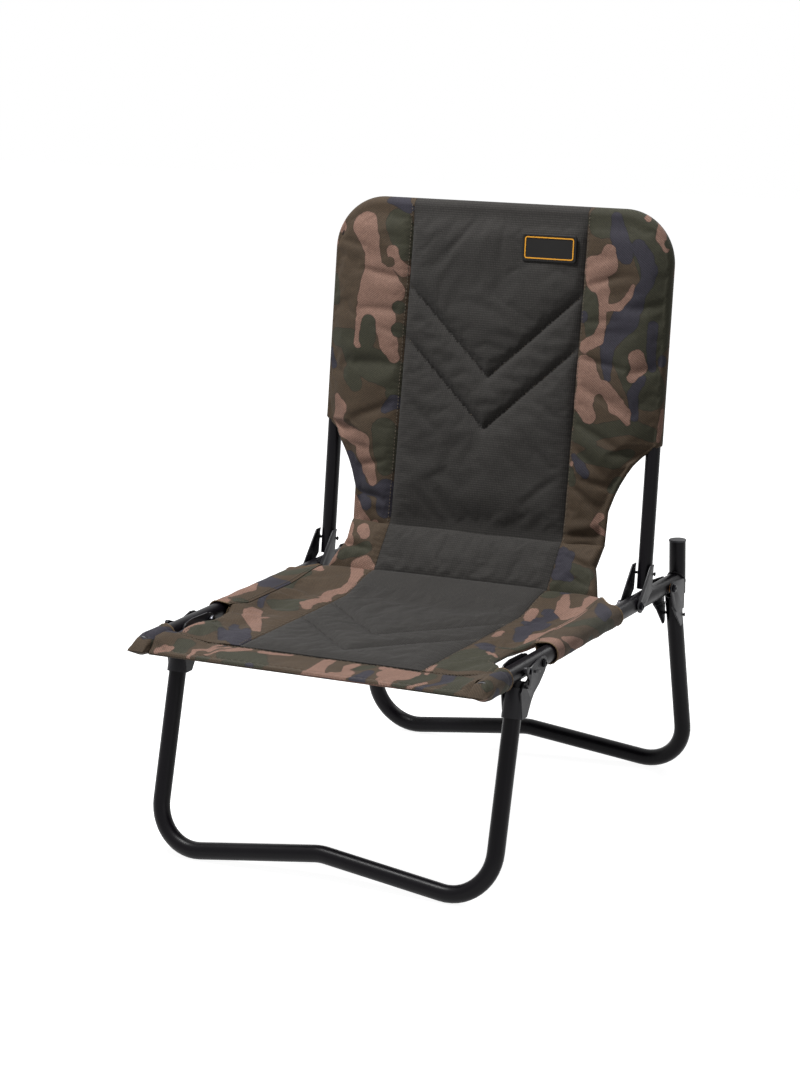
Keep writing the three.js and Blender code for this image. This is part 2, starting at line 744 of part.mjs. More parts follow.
const around = (line) => [line - channelHalfWidth, line, line + channelHalfWidth];
const backRowShares = [0, 0.18, 0.4, 0.65];
const topRowShift = 0.15;
const topInsetShares = [1.5, 0.7, 0.3];
const centreColumnShares = [-1, -0.94, -0.75, -0.5, -0.25, 0, 0.25, 0.5, 0.75, 0.94, 1];

function addBackCentre() {
  const lowPart = backRowShares.map((share) => lerp(backFoot + seam / 2, backLowChevron, share));
  const highPart = backRowShares.map((share) => lerp(backHighChevron, coverTop, topRowShift + share));
  const rows = [...lowPart, ...around(backLowChevron), (backLowChevron + backHighChevron) / 2,
    ...around(backHighChevron), ...highPart,
    ...topInsetShares.map((share) => coverTop - coverRadius * share), coverTop - edgeSkin];
  const place = (i, j) => {
    const x = centreColumnShares[j] * (centreHalfWidth - seam / 2);
    const shift = chevronShift(x, rows[i], backLowChevron, backHighChevron, backFoot, coverTop);
    return [x, rows[i] + shift];
  };
  const front = (i, j) => {
    const [x, rise] = place(i, j);
    const nearest = Math.min(Math.abs(rows[i] - backLowChevron), Math.abs(rows[i] - backHighChevron),
      centreHalfWidth - Math.abs(x), rows[i] - backFoot + channelHalfWidth / 2);
    const fade = 1 - smoothstep(rise, coverTop - tubeReach, coverTop - coverRadius);
    const sewn = (quilt(nearest) * (puff + channelDepth) - channelDepth) * fade;
    return [x, -backSection(0, rise)[0] - sewn, rise];
  };
  const rear = (i, j) => {
    const [x, rise] = place(i, j);
    return [x, -backSection(0, rise)[1], rise];
  };
  const pad = slab(rows.length, centreColumnShares.length, front, rear);
  const bore = sweep(disc(backRadius + gap * 2, tubeSides), backHoopStations(-overrun));
  addPiece(backPlane, 'back_centre_panel', cut(pad, [bore]), plainCloth);
}

const sideColumnShares = [0, 0.12, 0.5, 1];
const edgeInsetShares = [0.55, 0.2, edgeSkin / coverRadius / 2];
const sleeveRowShares = [0, 0.2, 0.4, 0.6, 0.8, 0.93, 1];
const cornerRowShares = [0.3, 0.55, 0.75, 0.88, 0.95];
const waistRowShares = [0.8, 0.6, 0.45, 0.3, 0.2, 0.1, 0.02];

function addBackSides() {
  const inner = centreHalfWidth + seam / 2;
  const corner = coverTop - coverBend;
  const rows = [
    backFoot + seam / 2,
    ...waistRowShares.map((share) => lerp(sleeveFoot, backFoot, share)),
    ...sleeveRowShares.map((share) => lerp(sleeveFoot, corner, share)),
    ...cornerRowShares.map((share) => lerp(corner, coverTop, share)),
    coverTop - edgeSkin,
  ];
  const columns = sideColumnShares.length + edgeInsetShares.length;
  const place = (i, j) => {
    const edge = coverEdge(rows[i]);
    if (j < sideColumnShares.length) {
      return [lerp(inner, edge - coverRadius, sideColumnShares[j]), rows[i]];
    }
    return [edge - coverRadius * edgeInsetShares[j - sideColumnShares.length], rows[i]];
  };
  const front = (i, j) => {
    const [x, rise] = place(i, j);
    const fade = 1 - smoothstep(rise, coverTop - tubeReach, coverTop - coverRadius);
    const dip = (1 - quilt(x - centreHalfWidth)) * channelDepth * fade;
    return [x, dip - backSection(x, rise)[0], rise];
  };
  const rear = (i, j) => {
    const [x, rise] = place(i, j);
    return [x, -backSection(x, rise)[1], rise];
  };
  const pad = slab(rows.length, columns, front, rear);
  const bore = sweep(disc(backRadius + gap * 2, tubeSides), backHoopStations(-overrun));
  addPair(backPlane, 'back_side_panel', cut(pad, [bore]), camoCloth);
}

// Seat pad. At rail level x goes across, y back from the rails' front ends, and z up.

const sleeveRadius = railRadius + clothOnTube;
const seatCrease = backPivotSetback - creaseLead;
const sleeveEdge = railX + sleeveRadius;
const railReach = sleeveRadius * 6;
const notchShares = [[0, 0.45], [0.15, 0.8], [0.45, 1], [0.75, 0.85], [1, 0.5]];

/** The top of the seat pad at the side seams: a long sag, and a rise to the crease at the back. */
const seatProfileShares = [[0, -0.05], [0.13, -0.06], [0.5, -0.09], [0.8, -0.05], [1, 0.2]];
const creaseStartShare = 0.78;

function seatTop(setback) {
  const level = railRadius * fromTable(seatProfileShares, clamp(setback / seatCrease, 0, 1));
  const rear = smoothstep(setback, seatCrease * creaseStartShare, seatCrease);
  return lerp(level, creaseHeight, rear);
}

/** The free side edge between the front pocket and the long sleeve. */
function notchEdge(setback) {
  const share = clamp((setback - pocketRear) / (sleeveFront - pocketRear), 0, 1);
  return railX - notchDepth * fromTable(notchShares, share);
}

function seatEdge(setback) {
  return setback < sleeveFront ? notchEdge(setback) : sleeveEdge;
}

function seatSection(x, setback) {
  const inset = seatEdge(setback) - Math.abs(x);
  const wrapped = setback < sleeveFront ? 0 : 1;
  const inner = smoothstep(inset, sleeveRadius, railReach);
  const half = rolled(inset, sleeveRadius);
  const freeHalf = rolled(inset, edgeThickness) / 2;
  const freeMiddle = seatTop(setback) + puff - edgeThickness / 2;
  const top = lerp(lerp(freeMiddle + freeHalf, half, wrapped), seatTop(setback), inner);
  const bottom = lerp(lerp(freeMiddle - freeHalf, -half, wrapped), seatTop(setback) - padThickness, inner);
  return [top, bottom];
}

const seatRowShares = [0.28, 0.5, 0.7, 0.84, 0.94];
const notchRowShares = [0, 0.15, 0.4, 0.7, 0.92];
const seatSleeveRowShares = [0, 0.15, 0.35, 0.55, 0.75, 0.9, 1];

function addSeatCentre() {
  const front = bandDepth + seam / 2;
  const rear = seatCrease - seam / 2;
  const tail = seatRowShares.map((share) => lerp(seatHighChevron, rear, share));
  const rows = [front, (front + seatLowChevron - channelHalfWidth) / 2, ...around(seatLowChevron),
    (seatLowChevron + seatHighChevron) / 2, ...around(seatHighChevron), ...tail, rear];
  const place = (i, j) => {
    const x = centreColumnShares[j] * (centreHalfWidth - seam / 2);
    return [x, rows[i] + chevronShift(x, rows[i], seatLowChevron, seatHighChevron, front, rear)];
  };
  const top = (i, j) => {
    const [x, setback] = place(i, j);
    const nearest = Math.min(Math.abs(rows[i] - seatLowChevron), Math.abs(rows[i] - seatHighChevron),
      centreHalfWidth - Math.abs(x), rows[i] - front, rear - rows[i]);
    return [x, setback, seatTop(setback) + quilt(nearest) * puff - puff / 2];
  };
  const bottom = (i, j) => {
    const [x, setback] = place(i, j);
    return [x, setback, seatTop(setback) - padThickness];
  };
  const pad = slab(rows.length, centreColumnShares.length, top, bottom);
  addPiece(railLevel, 'seat_centre_panel', pad, plainCloth);
}

function addSeatSides() {
  const inner = centreHalfWidth + seam / 2;
  const start = bandDepth + seam / 2;
  const cutLine = (sleeveFront - start) / (seatCrease - start);
  const rows = [
    ...notchRowShares.map((share) => share * cutLine),
    cutLine - seam / seatCrease,
    ...seatSleeveRowShares.map((share) => lerp(cutLine + seam / seatCrease, 1, share)),
  ];
  const columns = sideColumnShares.length + edgeInsetShares.length;
  const place = (i, j) => {
    const flat = start + rows[i] * (seatCrease - start);
    const edge = seatEdge(flat);
    const x = j < sideColumnShares.length
      ? lerp(inner, edge - sleeveRadius, sideColumnShares[j])
      : edge - sleeveRadius * edgeInsetShares[j - sideColumnShares.length];
    const slant = smoothstep(x, creaseHalfWidth, railX) * (seatCrease - sleeveRear);
    const late = smoothstep(rows[i], cutLine + overrun / seatCrease, 1);
    return [x, flat - slant * late - seam / 2 * (rows[i] === 1 ? 1 : 0), flat];
  };
  const top = (i, j) => {
    const [x, setback, flat] = place(i, j);
    const dip = (1 - quilt(x - centreHalfWidth)) * channelDepth / 2;
    return [x, setback, seatSection(x, flat)[0] - dip];
  };
  const bottom = (i, j) => {
    const [x, setback, flat] = place(i, j);
    return [x, setback, seatSection(x, flat)[1]];
  };
  const pad = slab(rows.length, columns, top, bottom);
  const bore = bar(disc(railRadius + gap * 2, tubeSides), 'y', -overrun, postSetback);
  addPair(railLevel, 'seat_side_panel', cut(pad, [atRail(bore, 0)]), camoCloth);
}

// Lumbar: three panels from the seat's crease up to the backrest pad; they crumple in the fold

const lumbarRowShares = [0.12, 0.35, 0.65, 0.88];
const lumbarColumnShares = [0, 0.15, 0.5, 0.85, 1];
const flareShares = [[0, 1], [0.3, 0.4], [0.6, -0.2], [1, 0]];

function addLumbar() {
  const lean = Math.sin(backRecline);
  const upright = Math.cos(backRecline);
  const foot = [seatCrease, creaseHeight - puff / 2];
  const head = [backHoopSetback + backFoot * lean - lumbarForward * upright,
    backFoot * upright + lumbarForward * lean];
  const length = Math.hypot(head[0] - foot[0], head[1] - foot[1]);
  const along = [(head[0] - foot[0]) / length, (head[1] - foot[1]) / length];
  const middle = lumbarRowShares.map((share) => length * share);
  const rows = [seam / 2, ...middle, length - seam / 2];
  const section = (x, run, depth) => {
    const y = foot[0] + along[0] * run + along[1] * depth;
    return [x, y, foot[1] + along[1] * run - along[0] * depth];
  };
  const bulge = (x, run, edges) => {
    const nearest = Math.min(run, length - run, ...edges.map((edge) => Math.abs(edge - x)));
    return -quilt(nearest) * puff / 2;
  };
  const panel = (columns, edges) => slab(rows.length, columns.length,
    (i, j) => section(columns[j](rows[i]), rows[i], bulge(columns[j](rows[i]), rows[i], edges)),
    (i, j) => section(columns[j](rows[i]), rows[i], padThickness - puff));
  const centre = centreColumnShares.map((share) => () => share * (centreHalfWidth - seam / 2));
  const centreEdges = [-centreHalfWidth, centreHalfWidth];
  addPiece(railLevel, 'lumbar_centre_panel', panel(centre, centreEdges), plainCloth);
  const inner = centreHalfWidth + seam / 2;
  const outer = (run) => lerp(waistHalfWidth, creaseHalfWidth, fromTable(flareShares, run / length));
  const side = lumbarColumnShares.map((share) => (run) => lerp(inner, outer(run), share));
  addPair(railLevel, 'lumbar_side_panel', panel(side, [centreHalfWidth]), camoCloth);
}

// Front band of the seat, its hem, and the closed pockets over the rails' front ends

const pocketRadius = railRadius + clothOnTube;
const pocketInner = railX - pocketRadius;

// Rows of the band from the hem back, each with its share of the depth and of the hem's thickness
const bandRowShares = [[0, 0.35], [0.05, 0.9], [0.14, 1], [0.35, 0.7], [0.65, 0.75], [0.9, 0.85], [1, 1]];
const bandColumnShares = [-1, -0.92, -0.8, -0.55, -0.28, 0, 0.28, 0.55, 0.8, 0.92, 1];

function addFrontBand() {
  const half = pocketInner - seam;
  const place = (i, j) => [bandColumnShares[j] * half,
    lerp(-pocketTip, bandDepth - seam / 2, bandRowShares[i][0])];
  const level = (i) => lerp(-hemDrop, seatTop(bandDepth) - puff / 2, bandRowShares[i][0]);
  const top = (i, j) => [...place(i, j), level(i) + (hemThickness * (bandRowShares[i][1] - 1)) / 2];
  const bottom = (i, j) => [...place(i, j), level(i) - (hemThickness * (bandRowShares[i][1] + 1)) / 2];
  const band = slab(bandRowShares.length, bandColumnShares.length, top, bottom);
  addPiece(railLevel, 'seat_front_band', band, camoCloth);
}

// Rows of a pocket from its flattened tip back: distance, share of the height, share of the width
const pocketRows = [
  [-pocketTip - pocketFold * 2, 0.16, 0.55],
  [-pocketTip - pocketFold, 0.5, 0.8],
  [-pocketTip, 0.8, 0.94],
  [-pocketTip / 2, 0.95, 1],
  [pocketFold, 1, 1],
  [pocketRear / 2, 1, 1],
  [pocketRear - pocketFold, 1, 1],
  [pocketRear, 1, 1],
];
const pocketColumnShares = [-1, -0.92, -0.7, -0.38, 0, 0.38, 0.7, 0.92, 1];
const pocketEdgeShare = 0.06;
const pocketHangShare = 1.1;

function addPockets() {
  const surface = (sign) => (i, j) => {
    const [setback, high, wide] = pocketRows[i];
    const across = pocketColumnShares[j];
    const round = Math.max(Math.sqrt(1 - across * across), pocketEdgeShare);
    const reach = sign < 0 ? -pocketHangShare : 1;
    const z = pocketRadius * round * high * reach - hemDrop * (1 - high);
    return [railX + across * pocketRadius * wide, setback, z];
  };
  const pocket = slab(pocketRows.length, pocketColumnShares.length, surface(1), surface(-1));
  const bore = bar(disc(railRadius + gap * 2, tubeSides), 'y', -capHeight - gap * 3, postSetback);
  addPair(railLevel, 'corner_pocket', cut(pocket, [atRail(bore, 0)]), camoCloth);
}

/** Blank rubber patch on the backrest, with its corners rounded. */
function addBadge() {
  const [w, h] = [badgeWidth / 2, badgeHeight / 2];
  const corner = (x, z, from) => arc(badgeCorner, from, from + 90, 3).map(([a, b]) => [x + a, z + b]);
  const points = [
    ...corner(w - badgeCorner, h - badgeCorner, 0), ...corner(badgeCorner - w, h - badgeCorner, 90),
    ...corner(badgeCorner - w, badgeCorner - h, 180), ...corner(w - badgeCorner, badgeCorner - h, 270),
  ];
  const rise = coverTop - badgeDrop;
  const low = backFront(rise - h) + puff + gap * 4;
  const high = backFront(rise + h) + puff + gap * 4;
  const tilt = Math.atan2(low - high, badgeHeight);
  const patch = bar(outline(points), 'z', 0, badgeThickness).rotateX(Math.PI / 2);
  patch.rotateX(tilt).translate(badgeSide, -(low + high) / 2 - gap * 2, rise);
  addPiece(backPlane, 'back_badge', patch, rubber);
}

addRails();
addPosts();
addLegHoop('front_leg_hoop', frontLegLean, frontLegSetback, -railRadius - gap, 0);
addLegHoop('rear_leg_hoop', -rearLegLean, rearLegSetback, -postBottom - gap, -rearPlateDrop * rearRivetShare);
addFrontBrackets();
addRearPlates();
addBackPlates();
addFasteners();
addCatch();
addBackHoop();
addBackCentre();
addBackSides();
addSeatCentre();
addSeatSides();
addLumbar();
addFrontBand();
addPockets();
addBadge();

// The origin: on the ground, under the middle of the chair's length
chair.updateMatrixWorld(true);
const bounds = new THREE.Box3().setFromObject(chair);
chair.position.y = -(bounds.min.y + bounds.max.y) / 2;

export default chair;
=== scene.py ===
# %% [markdown]
# # A folding fishing chair
# The chair is a steel frame that folds flat, with one long padded cloth hung in it. The frame's
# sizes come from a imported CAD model, so this lesson only dresses it: smooth tubes in place of
# faceted ones, rounded sheet metal, sewn cloth, thread, weld beads and paint.

import bmesh
import bpy
import json
import math
from mathutils import Matrix, Vector, noise


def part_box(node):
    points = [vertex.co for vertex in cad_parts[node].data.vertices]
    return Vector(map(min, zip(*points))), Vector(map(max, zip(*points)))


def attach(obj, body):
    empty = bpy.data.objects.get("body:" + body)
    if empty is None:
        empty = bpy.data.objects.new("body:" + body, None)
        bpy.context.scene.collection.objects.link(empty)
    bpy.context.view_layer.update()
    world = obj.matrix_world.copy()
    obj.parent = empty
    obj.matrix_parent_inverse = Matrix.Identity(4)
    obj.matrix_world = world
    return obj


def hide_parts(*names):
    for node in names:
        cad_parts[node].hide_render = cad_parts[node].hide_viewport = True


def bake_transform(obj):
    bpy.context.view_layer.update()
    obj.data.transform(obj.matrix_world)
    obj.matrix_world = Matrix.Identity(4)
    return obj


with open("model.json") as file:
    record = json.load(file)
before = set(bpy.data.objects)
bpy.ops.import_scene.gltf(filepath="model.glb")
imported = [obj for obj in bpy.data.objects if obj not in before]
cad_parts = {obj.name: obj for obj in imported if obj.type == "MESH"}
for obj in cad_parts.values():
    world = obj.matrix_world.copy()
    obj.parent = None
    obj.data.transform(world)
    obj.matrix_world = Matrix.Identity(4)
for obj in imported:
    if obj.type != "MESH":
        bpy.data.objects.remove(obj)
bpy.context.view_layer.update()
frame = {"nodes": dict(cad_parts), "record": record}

# %% [markdown]
# The script works in millimetres, and MM turns them to metres. All places are given in two simple
# sets of axes: along the side rails, and along the reclined backrest hoop. The rails and joints
# come from the frame. The tubes' radii and bends, the angles at which the hoops lean and the
# cloth's own sizes are typed.

# %% Sizes and the two sets of axes
MM = 0.001
SIDES = {"right": 1, "left": -1}

joint_at = {j["name"]: Vector(j["pos_m"]) / MM for j in frame["record"]["behaviour"]["joints"]}
rail_low, rail_high = (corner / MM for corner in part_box("seat_rail_right"))
RAIL_X = (rail_low.x + rail_high.x) / 2
LEVEL = joint_at["backrest_fold"].z
FRONT = rail_low.y
RAIL_R = 11.0
BACK_R = 9.5
WALL = 1.5
RECLINE = math.radians(9.2)
BACK_FOOT = joint_at["backrest_fold"].y - FRONT + 36.6
HOOP_TOP = 491.0
HOOP_BEND = 60.0


def at_rail(x, along, up):
    """A place in metres: across, back from the rails' front ends, and up from the rails' axes."""
    return Vector((x, FRONT + along, LEVEL + up)) * MM


def at_back(x, rise, ahead):
    """A place in metres: across, up along the backrest hoop, and ahead of the hoop's plane."""
    along = BACK_FOOT + rise * math.sin(RECLINE) - ahead * math.cos(RECLINE)
    return at_rail(x, along, rise * math.cos(RECLINE) + ahead * math.sin(RECLINE))


def mix(a, b, t):
    return a + (b - a) * t


def clamp(v, low=0.0, high=1.0):
    return min(max(v, low), high)


def ease(v, low, high):
    t = clamp((v - low) / (high - low))
    return t * t * (3 - 2 * t)


def from_table(table, at):
    """The value of a table of (place, value) rows, straight between rows."""
    for (a, va), (b, vb) in zip(table, table[1:]):
        if at <= b:
            return mix(va, vb, clamp((at - a) / (b - a)))
    return table[-1][1]


print("rail axis at x", round(RAIL_X, 2), "level", round(LEVEL, 2), "front", round(FRONT, 2))

# %% [markdown]
# The camera stands where the photographer's did, to the right of the chair and a little above
# the seat. Its place was found by matching the straight tubes of the frame to their pictures.
# A long lens keeps the chair's edges nearly parallel.

# %% Camera
CAMERA_TURN, CAMERA_TILT, CAMERA_ROLL = 28.479, 13.606, -0.927
CAMERA_PLACE = (1772.7, -3328.5, 1289.7)
FOCAL_PIXELS, PICTURE_LONG, SENSOR = 3020.76, 1067, 36.0


def in_scene(name, data):
    made = bpy.data.objects.new(name, data)
    bpy.context.collection.objects.link(made)
    return made


camera_data = bpy.data.cameras.new("camera")
camera_data.sensor_fit = "VERTICAL"
camera_data.sensor_height = SENSOR
camera_data.lens = FOCAL_PIXELS / PICTURE_LONG * SENSOR
camera = in_scene("camera", camera_data)
turn, tilt = math.radians(CAMERA_TURN), math.radians(CAMERA_TILT)
towards_camera = Vector((
    math.sin(turn) * math.cos(tilt), -math.cos(turn) * math.cos(tilt), math.sin(tilt)))
flat_right = Vector((math.cos(turn), math.sin(turn), 0))
flat_up = towards_camera.cross(flat_right)
roll = math.radians(CAMERA_ROLL)
right = flat_right * math.cos(roll) + flat_up * math.sin(roll)
up = flat_up * math.cos(roll) - flat_right * math.sin(roll)
axes = Matrix((right, up, towards_camera)).transposed().to_4x4()
camera.matrix_world = Matrix.Translation(Vector(CAMERA_PLACE) * MM) @ axes
bpy.context.scene.camera = camera
print("lens", round(camera_data.lens, 2), "mm on a", SENSOR, "mm tall sensor")

# %% [markdown]
# Product photographs of black frames use big soft lamps, so that the tubes show long, soft
# highlights and the cloth keeps its colour. The key lamp stands high on the left, a weak one fills
# from the right, a third lights the edges from behind, and the world gives the rest. The floor
# is seen white by the camera, and it keeps the chair's soft contact shadow.

# %% Lamps, world and floor
def linear(hex_colour):
    """An sRGB hex value as a linear colour with alpha."""
    parts = [int(hex_colour[i : i + 2], 16) / 255 for i in (0, 2, 4)]
    return tuple(
        v / 12.92 if v <= 0.04045 else ((v + 0.055) / 1.055) ** 2.4 for v in parts) + (1,)


def add(tree, kind, inputs=None, **settings):
    """A shader node with its settings; an input is a value or another node's output."""
    made = tree.nodes.new(kind)
    for key, value in settings.items():
        setattr(made, key, value)
    for key, value in (inputs or {}).items():
        if isinstance(value, bpy.types.NodeSocket):
            tree.links.new(value, made.inputs[key])
        else:
            made.inputs[key].default_value = value
    return made


def worked(tree, operation, a, b=0.5):
    """The outcome of one sum on two values."""
    return add(tree, "ShaderNodeMath", {0: a, 1: b}, operation=operation).outputs[0]


def ranged(tree, value, to_low, to_high, low=0.0, high=1.0):
    """A value moved from the range low to high into the range to_low to to_high."""
    return add(tree, "ShaderNodeMapRange", {0: value, 1: low, 2: high, 3: to_low, 4: to_high}).outputs[0]


def blended(tree, share, a, b):
    """A colour between two others."""
    return add(tree, "ShaderNodeMix", {0: share, 6: a, 7: b}, data_type="RGBA").outputs[2]


def seen_by(tree):
    """1 for rays that make the picture and its reflections, 0 for bounced light."""
    ray = add(tree, "ShaderNodeLightPath").outputs
    first = worked(tree, "MAXIMUM", ray["Is Camera Ray"], ray["Is Glossy Ray"])
    return worked(tree, "MAXIMUM", first, ray["Is Transmission Ray"])


def new_finish(name):
    finish = bpy.data.materials.new(name)
    finish.use_nodes = True
    finish.node_tree.nodes.clear()
    return finish, finish.node_tree


scene = bpy.context.scene
scene.view_settings.view_transform = "Standard"

LAMPS = {
    # name: (place in m, aims at in m, size in m, watts)
    "key": ((-0.8, -0.6, 3.1), (0, 0, 0.35), 0.7, 136),
    "fill": ((2.8, -1.8, 1.7), (0, 0, 0.3), 1.6, 9),
    "rim": ((0.6, 2.4, 2.4), (0, 0, 0.4), 1.4, 34),
}
for name, (place, aim, size, watts) in LAMPS.items():
    light = bpy.data.lights.new(name, "AREA")
    light.energy = watts
    light.size = size
    lamp = in_scene(name, light)
    lamp.location = place
    lamp.rotation_euler = (Vector(aim) - Vector(place)).to_track_quat("-Z", "Y").to_euler()

AMBIENT, FLOOR_GLOW, FLOOR_HALF = 0.17, 0.93, 6.0
world = bpy.data.worlds.new("studio")
scene.world = world
world.use_nodes = True
sky = world.node_tree
sky.nodes.clear()
seen = seen_by(sky)
ambient = add(sky, "ShaderNodeBackground", {"Color": linear("F4F5F8"), "Strength": AMBIENT})
white = add(sky, "ShaderNodeBackground", {"Color": (1, 1, 1, 1), "Strength": 1.0})
both = add(sky, "ShaderNodeMixShader", {0: seen, 1: ambient.outputs[0], 2: white.outputs[0]})
add(sky, "ShaderNodeOutputWorld", {"Surface": both.outputs[0]})

floor_paint, tree = new_finish("studio_floor")
seen = seen_by(tree)
matt = add(tree, "ShaderNodeBsdfDiffuse", {"Color": linear("B0B0B0")})
lift = worked(tree, "MULTIPLY", seen, FLOOR_GLOW)
glow = add(tree, "ShaderNodeEmission", {"Color": (1, 1, 1, 1), "Strength": lift})
both = add(tree, "ShaderNodeAddShader", {0: matt.outputs[0], 1: glow.outputs[0]})
add(tree, "ShaderNodeOutputMaterial", {"Surface": both.outputs[0]})

bm = bmesh.new()
bmesh.ops.create_grid(bm, x_segments=1, y_segments=1, size=FLOOR_HALF)
floor_mesh = bpy.data.meshes.new("floor")
bm.to_mesh(floor_mesh)
bm.free()
floor_mesh.materials.append(floor_paint)
floor = in_scene("floor", floor_mesh)
print("lamps", list(LAMPS))

# %% [markdown]
# ## Metal and plastic finishes
# The tubes are mild steel with a satin black powder coat: baked powder leaves a very fine orange
# peel, so highlights are soft and slightly broken. The brackets are pressed sheet in the same
# paint, a little greyer. Bolts and pins are blackened in a hot oxide bath, and nuts and springs
# are plated with zinc and dyed dark. Each pattern's scale is worked out from its real size.

# %% Metal and plastic finishes
CLOUD_MM, SMEAR_MM = 45.0, 12.0


def grain_of(tree, size_mm, detail=2.0):
    """Noise on the object's own coordinates whose grains are about size_mm wide."""
    place = add(tree, "ShaderNodeTexCoord").outputs["Object"]
    return add(tree, "ShaderNodeTexNoise", {"Vector": place, "Scale": 1 / (size_mm * MM), "Detail": detail,
                                            "Roughness": 0.55}).outputs["Fac"]


def hard_finish(name, dark, light, roughness, metallic, peel_mm, peel_height, specular=0.5):
    """Paint, plating or plastic: two close colours, uneven gloss and a fine bump."""
    spread = 0.08
    finish, tree = new_finish(name)
    colour = blended(tree, grain_of(tree, CLOUD_MM), linear(dark), linear(light))
    gloss = ranged(tree, grain_of(tree, SMEAR_MM), roughness - spread, roughness + spread)
    bump = add(tree, "ShaderNodeBump",
               {"Height": grain_of(tree, peel_mm), "Distance": peel_height * MM, "Strength": 0.6})
    shader = add(tree, "ShaderNodeBsdfPrincipled",
                 {"Base Color": colour, "Roughness": gloss, "Metallic": metallic,
                  "Specular IOR Level": specular, "Normal": bump.outputs[0]})
    add(tree, "ShaderNodeOutputMaterial", {"Surface": shader.outputs[0]})
    return finish


powder_coat = hard_finish("satin_powder_coat_on_steel", "08060A", "0E0C10", 0.35, 0.0, 1.6, 0.06, 0.12)
sheet_paint = hard_finish("painted_pressed_sheet", "151417", "1E1D21", 0.42, 0.0, 2.2, 0.05, 0.2)
zinc = hard_finish("dark_zinc_plate", "3A3A3E", "5C5C61", 0.34, 1.0, 0.8, 0.03)
copper_washer = hard_finish("dull_coppery_washer", "6B4A2C", "97704A", 0.38, 1.0, 0.8, 0.03)
black_bolt = hard_finish("black_oxide_steel", "101012", "1C1C20", 0.3, 1.0, 0.8, 0.03)
moulded_plastic = hard_finish("moulded_black_plastic", "28272B", "323136", 0.5, 0.0, 1.2, 0.05, 0.3)
print("hard finishes made")

# %% [markdown]
# ## Cloth finishes
# All the cloth is woven polyester. The weave is drawn on each panel's own UV map, which holds
# the flat cloth in metres, so the threads follow the cloth and never stretch. A real thread is
# about 0.4 mm wide; it is drawn at about 2 mm here, because a finer one would not show. The twill
# of the printed cloth runs slantwise, and the plain cloth has a small square grain.

# %% Cloth finishes
TWILL_MM, TWILL_SLANT = 1.9, 38
DOBBY_MM = 2.4
PLAIN = "2B2927"
INKS = ("green", "navy", "tan")
PRINT = {"brown": "3D3124", "green": "2D2C20", "tan": "775C50", "navy": "28262E"}


def weave_of(tree, pitch_mm, slant):
    """A woven height: ribs along one slanted way, broken across by the other threads."""
    flat = add(tree, "ShaderNodeUVMap", uv_map="cloth").outputs["UV"]
    turned = add(tree, "ShaderNodeMapping", {"Vector": flat, "Rotation": (0, 0, math.radians(slant))})
    bands = 2 * math.pi / (20 * pitch_mm * MM)
    warp, weft = (
        add(tree, "ShaderNodeTexWave", {"Vector": turned.outputs[0], "Scale": bands * share, "Distortion": 0.6,
                                        "Detail": 1.0}, bands_direction=way).outputs["Fac"]
        for way, share in (("X", 1), ("Y", 0.8)))
    return worked(tree, "MULTIPLY", warp, weft)


def dimmed(tree, colour, share):
    return add(tree, "ShaderNodeVectorMath", {0: colour, "Scale": share}, operation="SCALE").outputs[0]


def cloth_shader(tree, colour, weave, rough, bump_mm):
    """Painted shade between the threads and painted light on their tops, worn cloudiness and a faint rough
    sheen over any printed colour.
    """
    cloud = grain_of(tree, 30.0, 3.0)
    fuzz = grain_of(tree, 2.2, 2.0)
    # painted shade and light: the weave's height darkens the colour in the gaps between threads and lightens
    # it on the thread tops
    thread = ranged(tree, weave, 0.7, 1.45)
    worn = ranged(tree, cloud, 0.92, 1.08, 0.3, 0.7)
    speck = ranged(tree, fuzz, 0.8, 1.2, 0.3, 0.7)
    shade = worked(tree, "MULTIPLY", worked(tree, "MULTIPLY", thread, worn), speck)
    tinted = dimmed(tree, colour, shade)
    height = worked(tree, "ADD", weave, fuzz)
    bump = add(tree, "ShaderNodeBump", {"Height": height, "Distance": bump_mm * MM, "Strength": 0.8})
    shader = add(tree, "ShaderNodeBsdfPrincipled",
                 {"Base Color": tinted, "Roughness": rough, "Specular IOR Level": 0.25,
                  "Sheen Weight": 0.05, "Sheen Roughness": 0.4, "Normal": bump.outputs[0]})
    add(tree, "ShaderNodeOutputMaterial", {"Surface": shader.outputs[0]})


def flat_colour(tree, hex_colour):
    colour = add(tree, "ShaderNodeRGB").outputs[0]
    colour.default_value = linear(hex_colour)
    return colour


def print_colour(tree):
    """A brown ground, and three inks kept on the mesh as signed distances in mm."""
    wander = ranged(tree, grain_of(tree, 9.0), -1.6, 1.6)
    colour = flat_colour(tree, PRINT["brown"])
    for ink in INKS:
        field = add(tree, "ShaderNodeAttribute", attribute_name=ink).outputs["Fac"]
        edge = worked(tree, "ADD", field, wander)
        inside = ranged(tree, edge, 0.0, 1.0, -0.35, 0.35)
        rim = ranged(tree, worked(tree, "ABSOLUTE", edge), 0.62, 1.0, 0.2, 0.9)
        colour = dimmed(tree, blended(tree, inside, colour, linear(PRINT[ink])), rim)
    return colour


plain_cloth, tree = new_finish("plain_woven_polyester")
cloth_shader(tree, flat_colour(tree, PLAIN), weave_of(tree, DOBBY_MM, 0), 0.85, 0.25)
printed_cloth, tree = new_finish("printed_twill_polyester")
cloth_shader(tree, print_colour(tree), weave_of(tree, TWILL_MM, TWILL_SLANT), 0.8, 0.2)
seam_thread = hard_finish("brown_sewing_thread", "3F372C", "564B3E", 0.7, 0.0, 0.6, 0.1)
overlock = hard_finish("pale_brown_overlock_thread", "4F3E2A", "6E583C", 0.75, 0.0, 0.5, 0.15)
print("cloth finishes made")

# %% [markdown]
# ## A bench for finished pieces
# Every new piece goes through one function: it becomes a mesh object at the origin, gets its
# finish and smooth shading with sharp edges kept, rides on its body, and takes the place of the
# CAD pieces that it stands for.

# %% The finishing function
SHARP = math.radians(38)


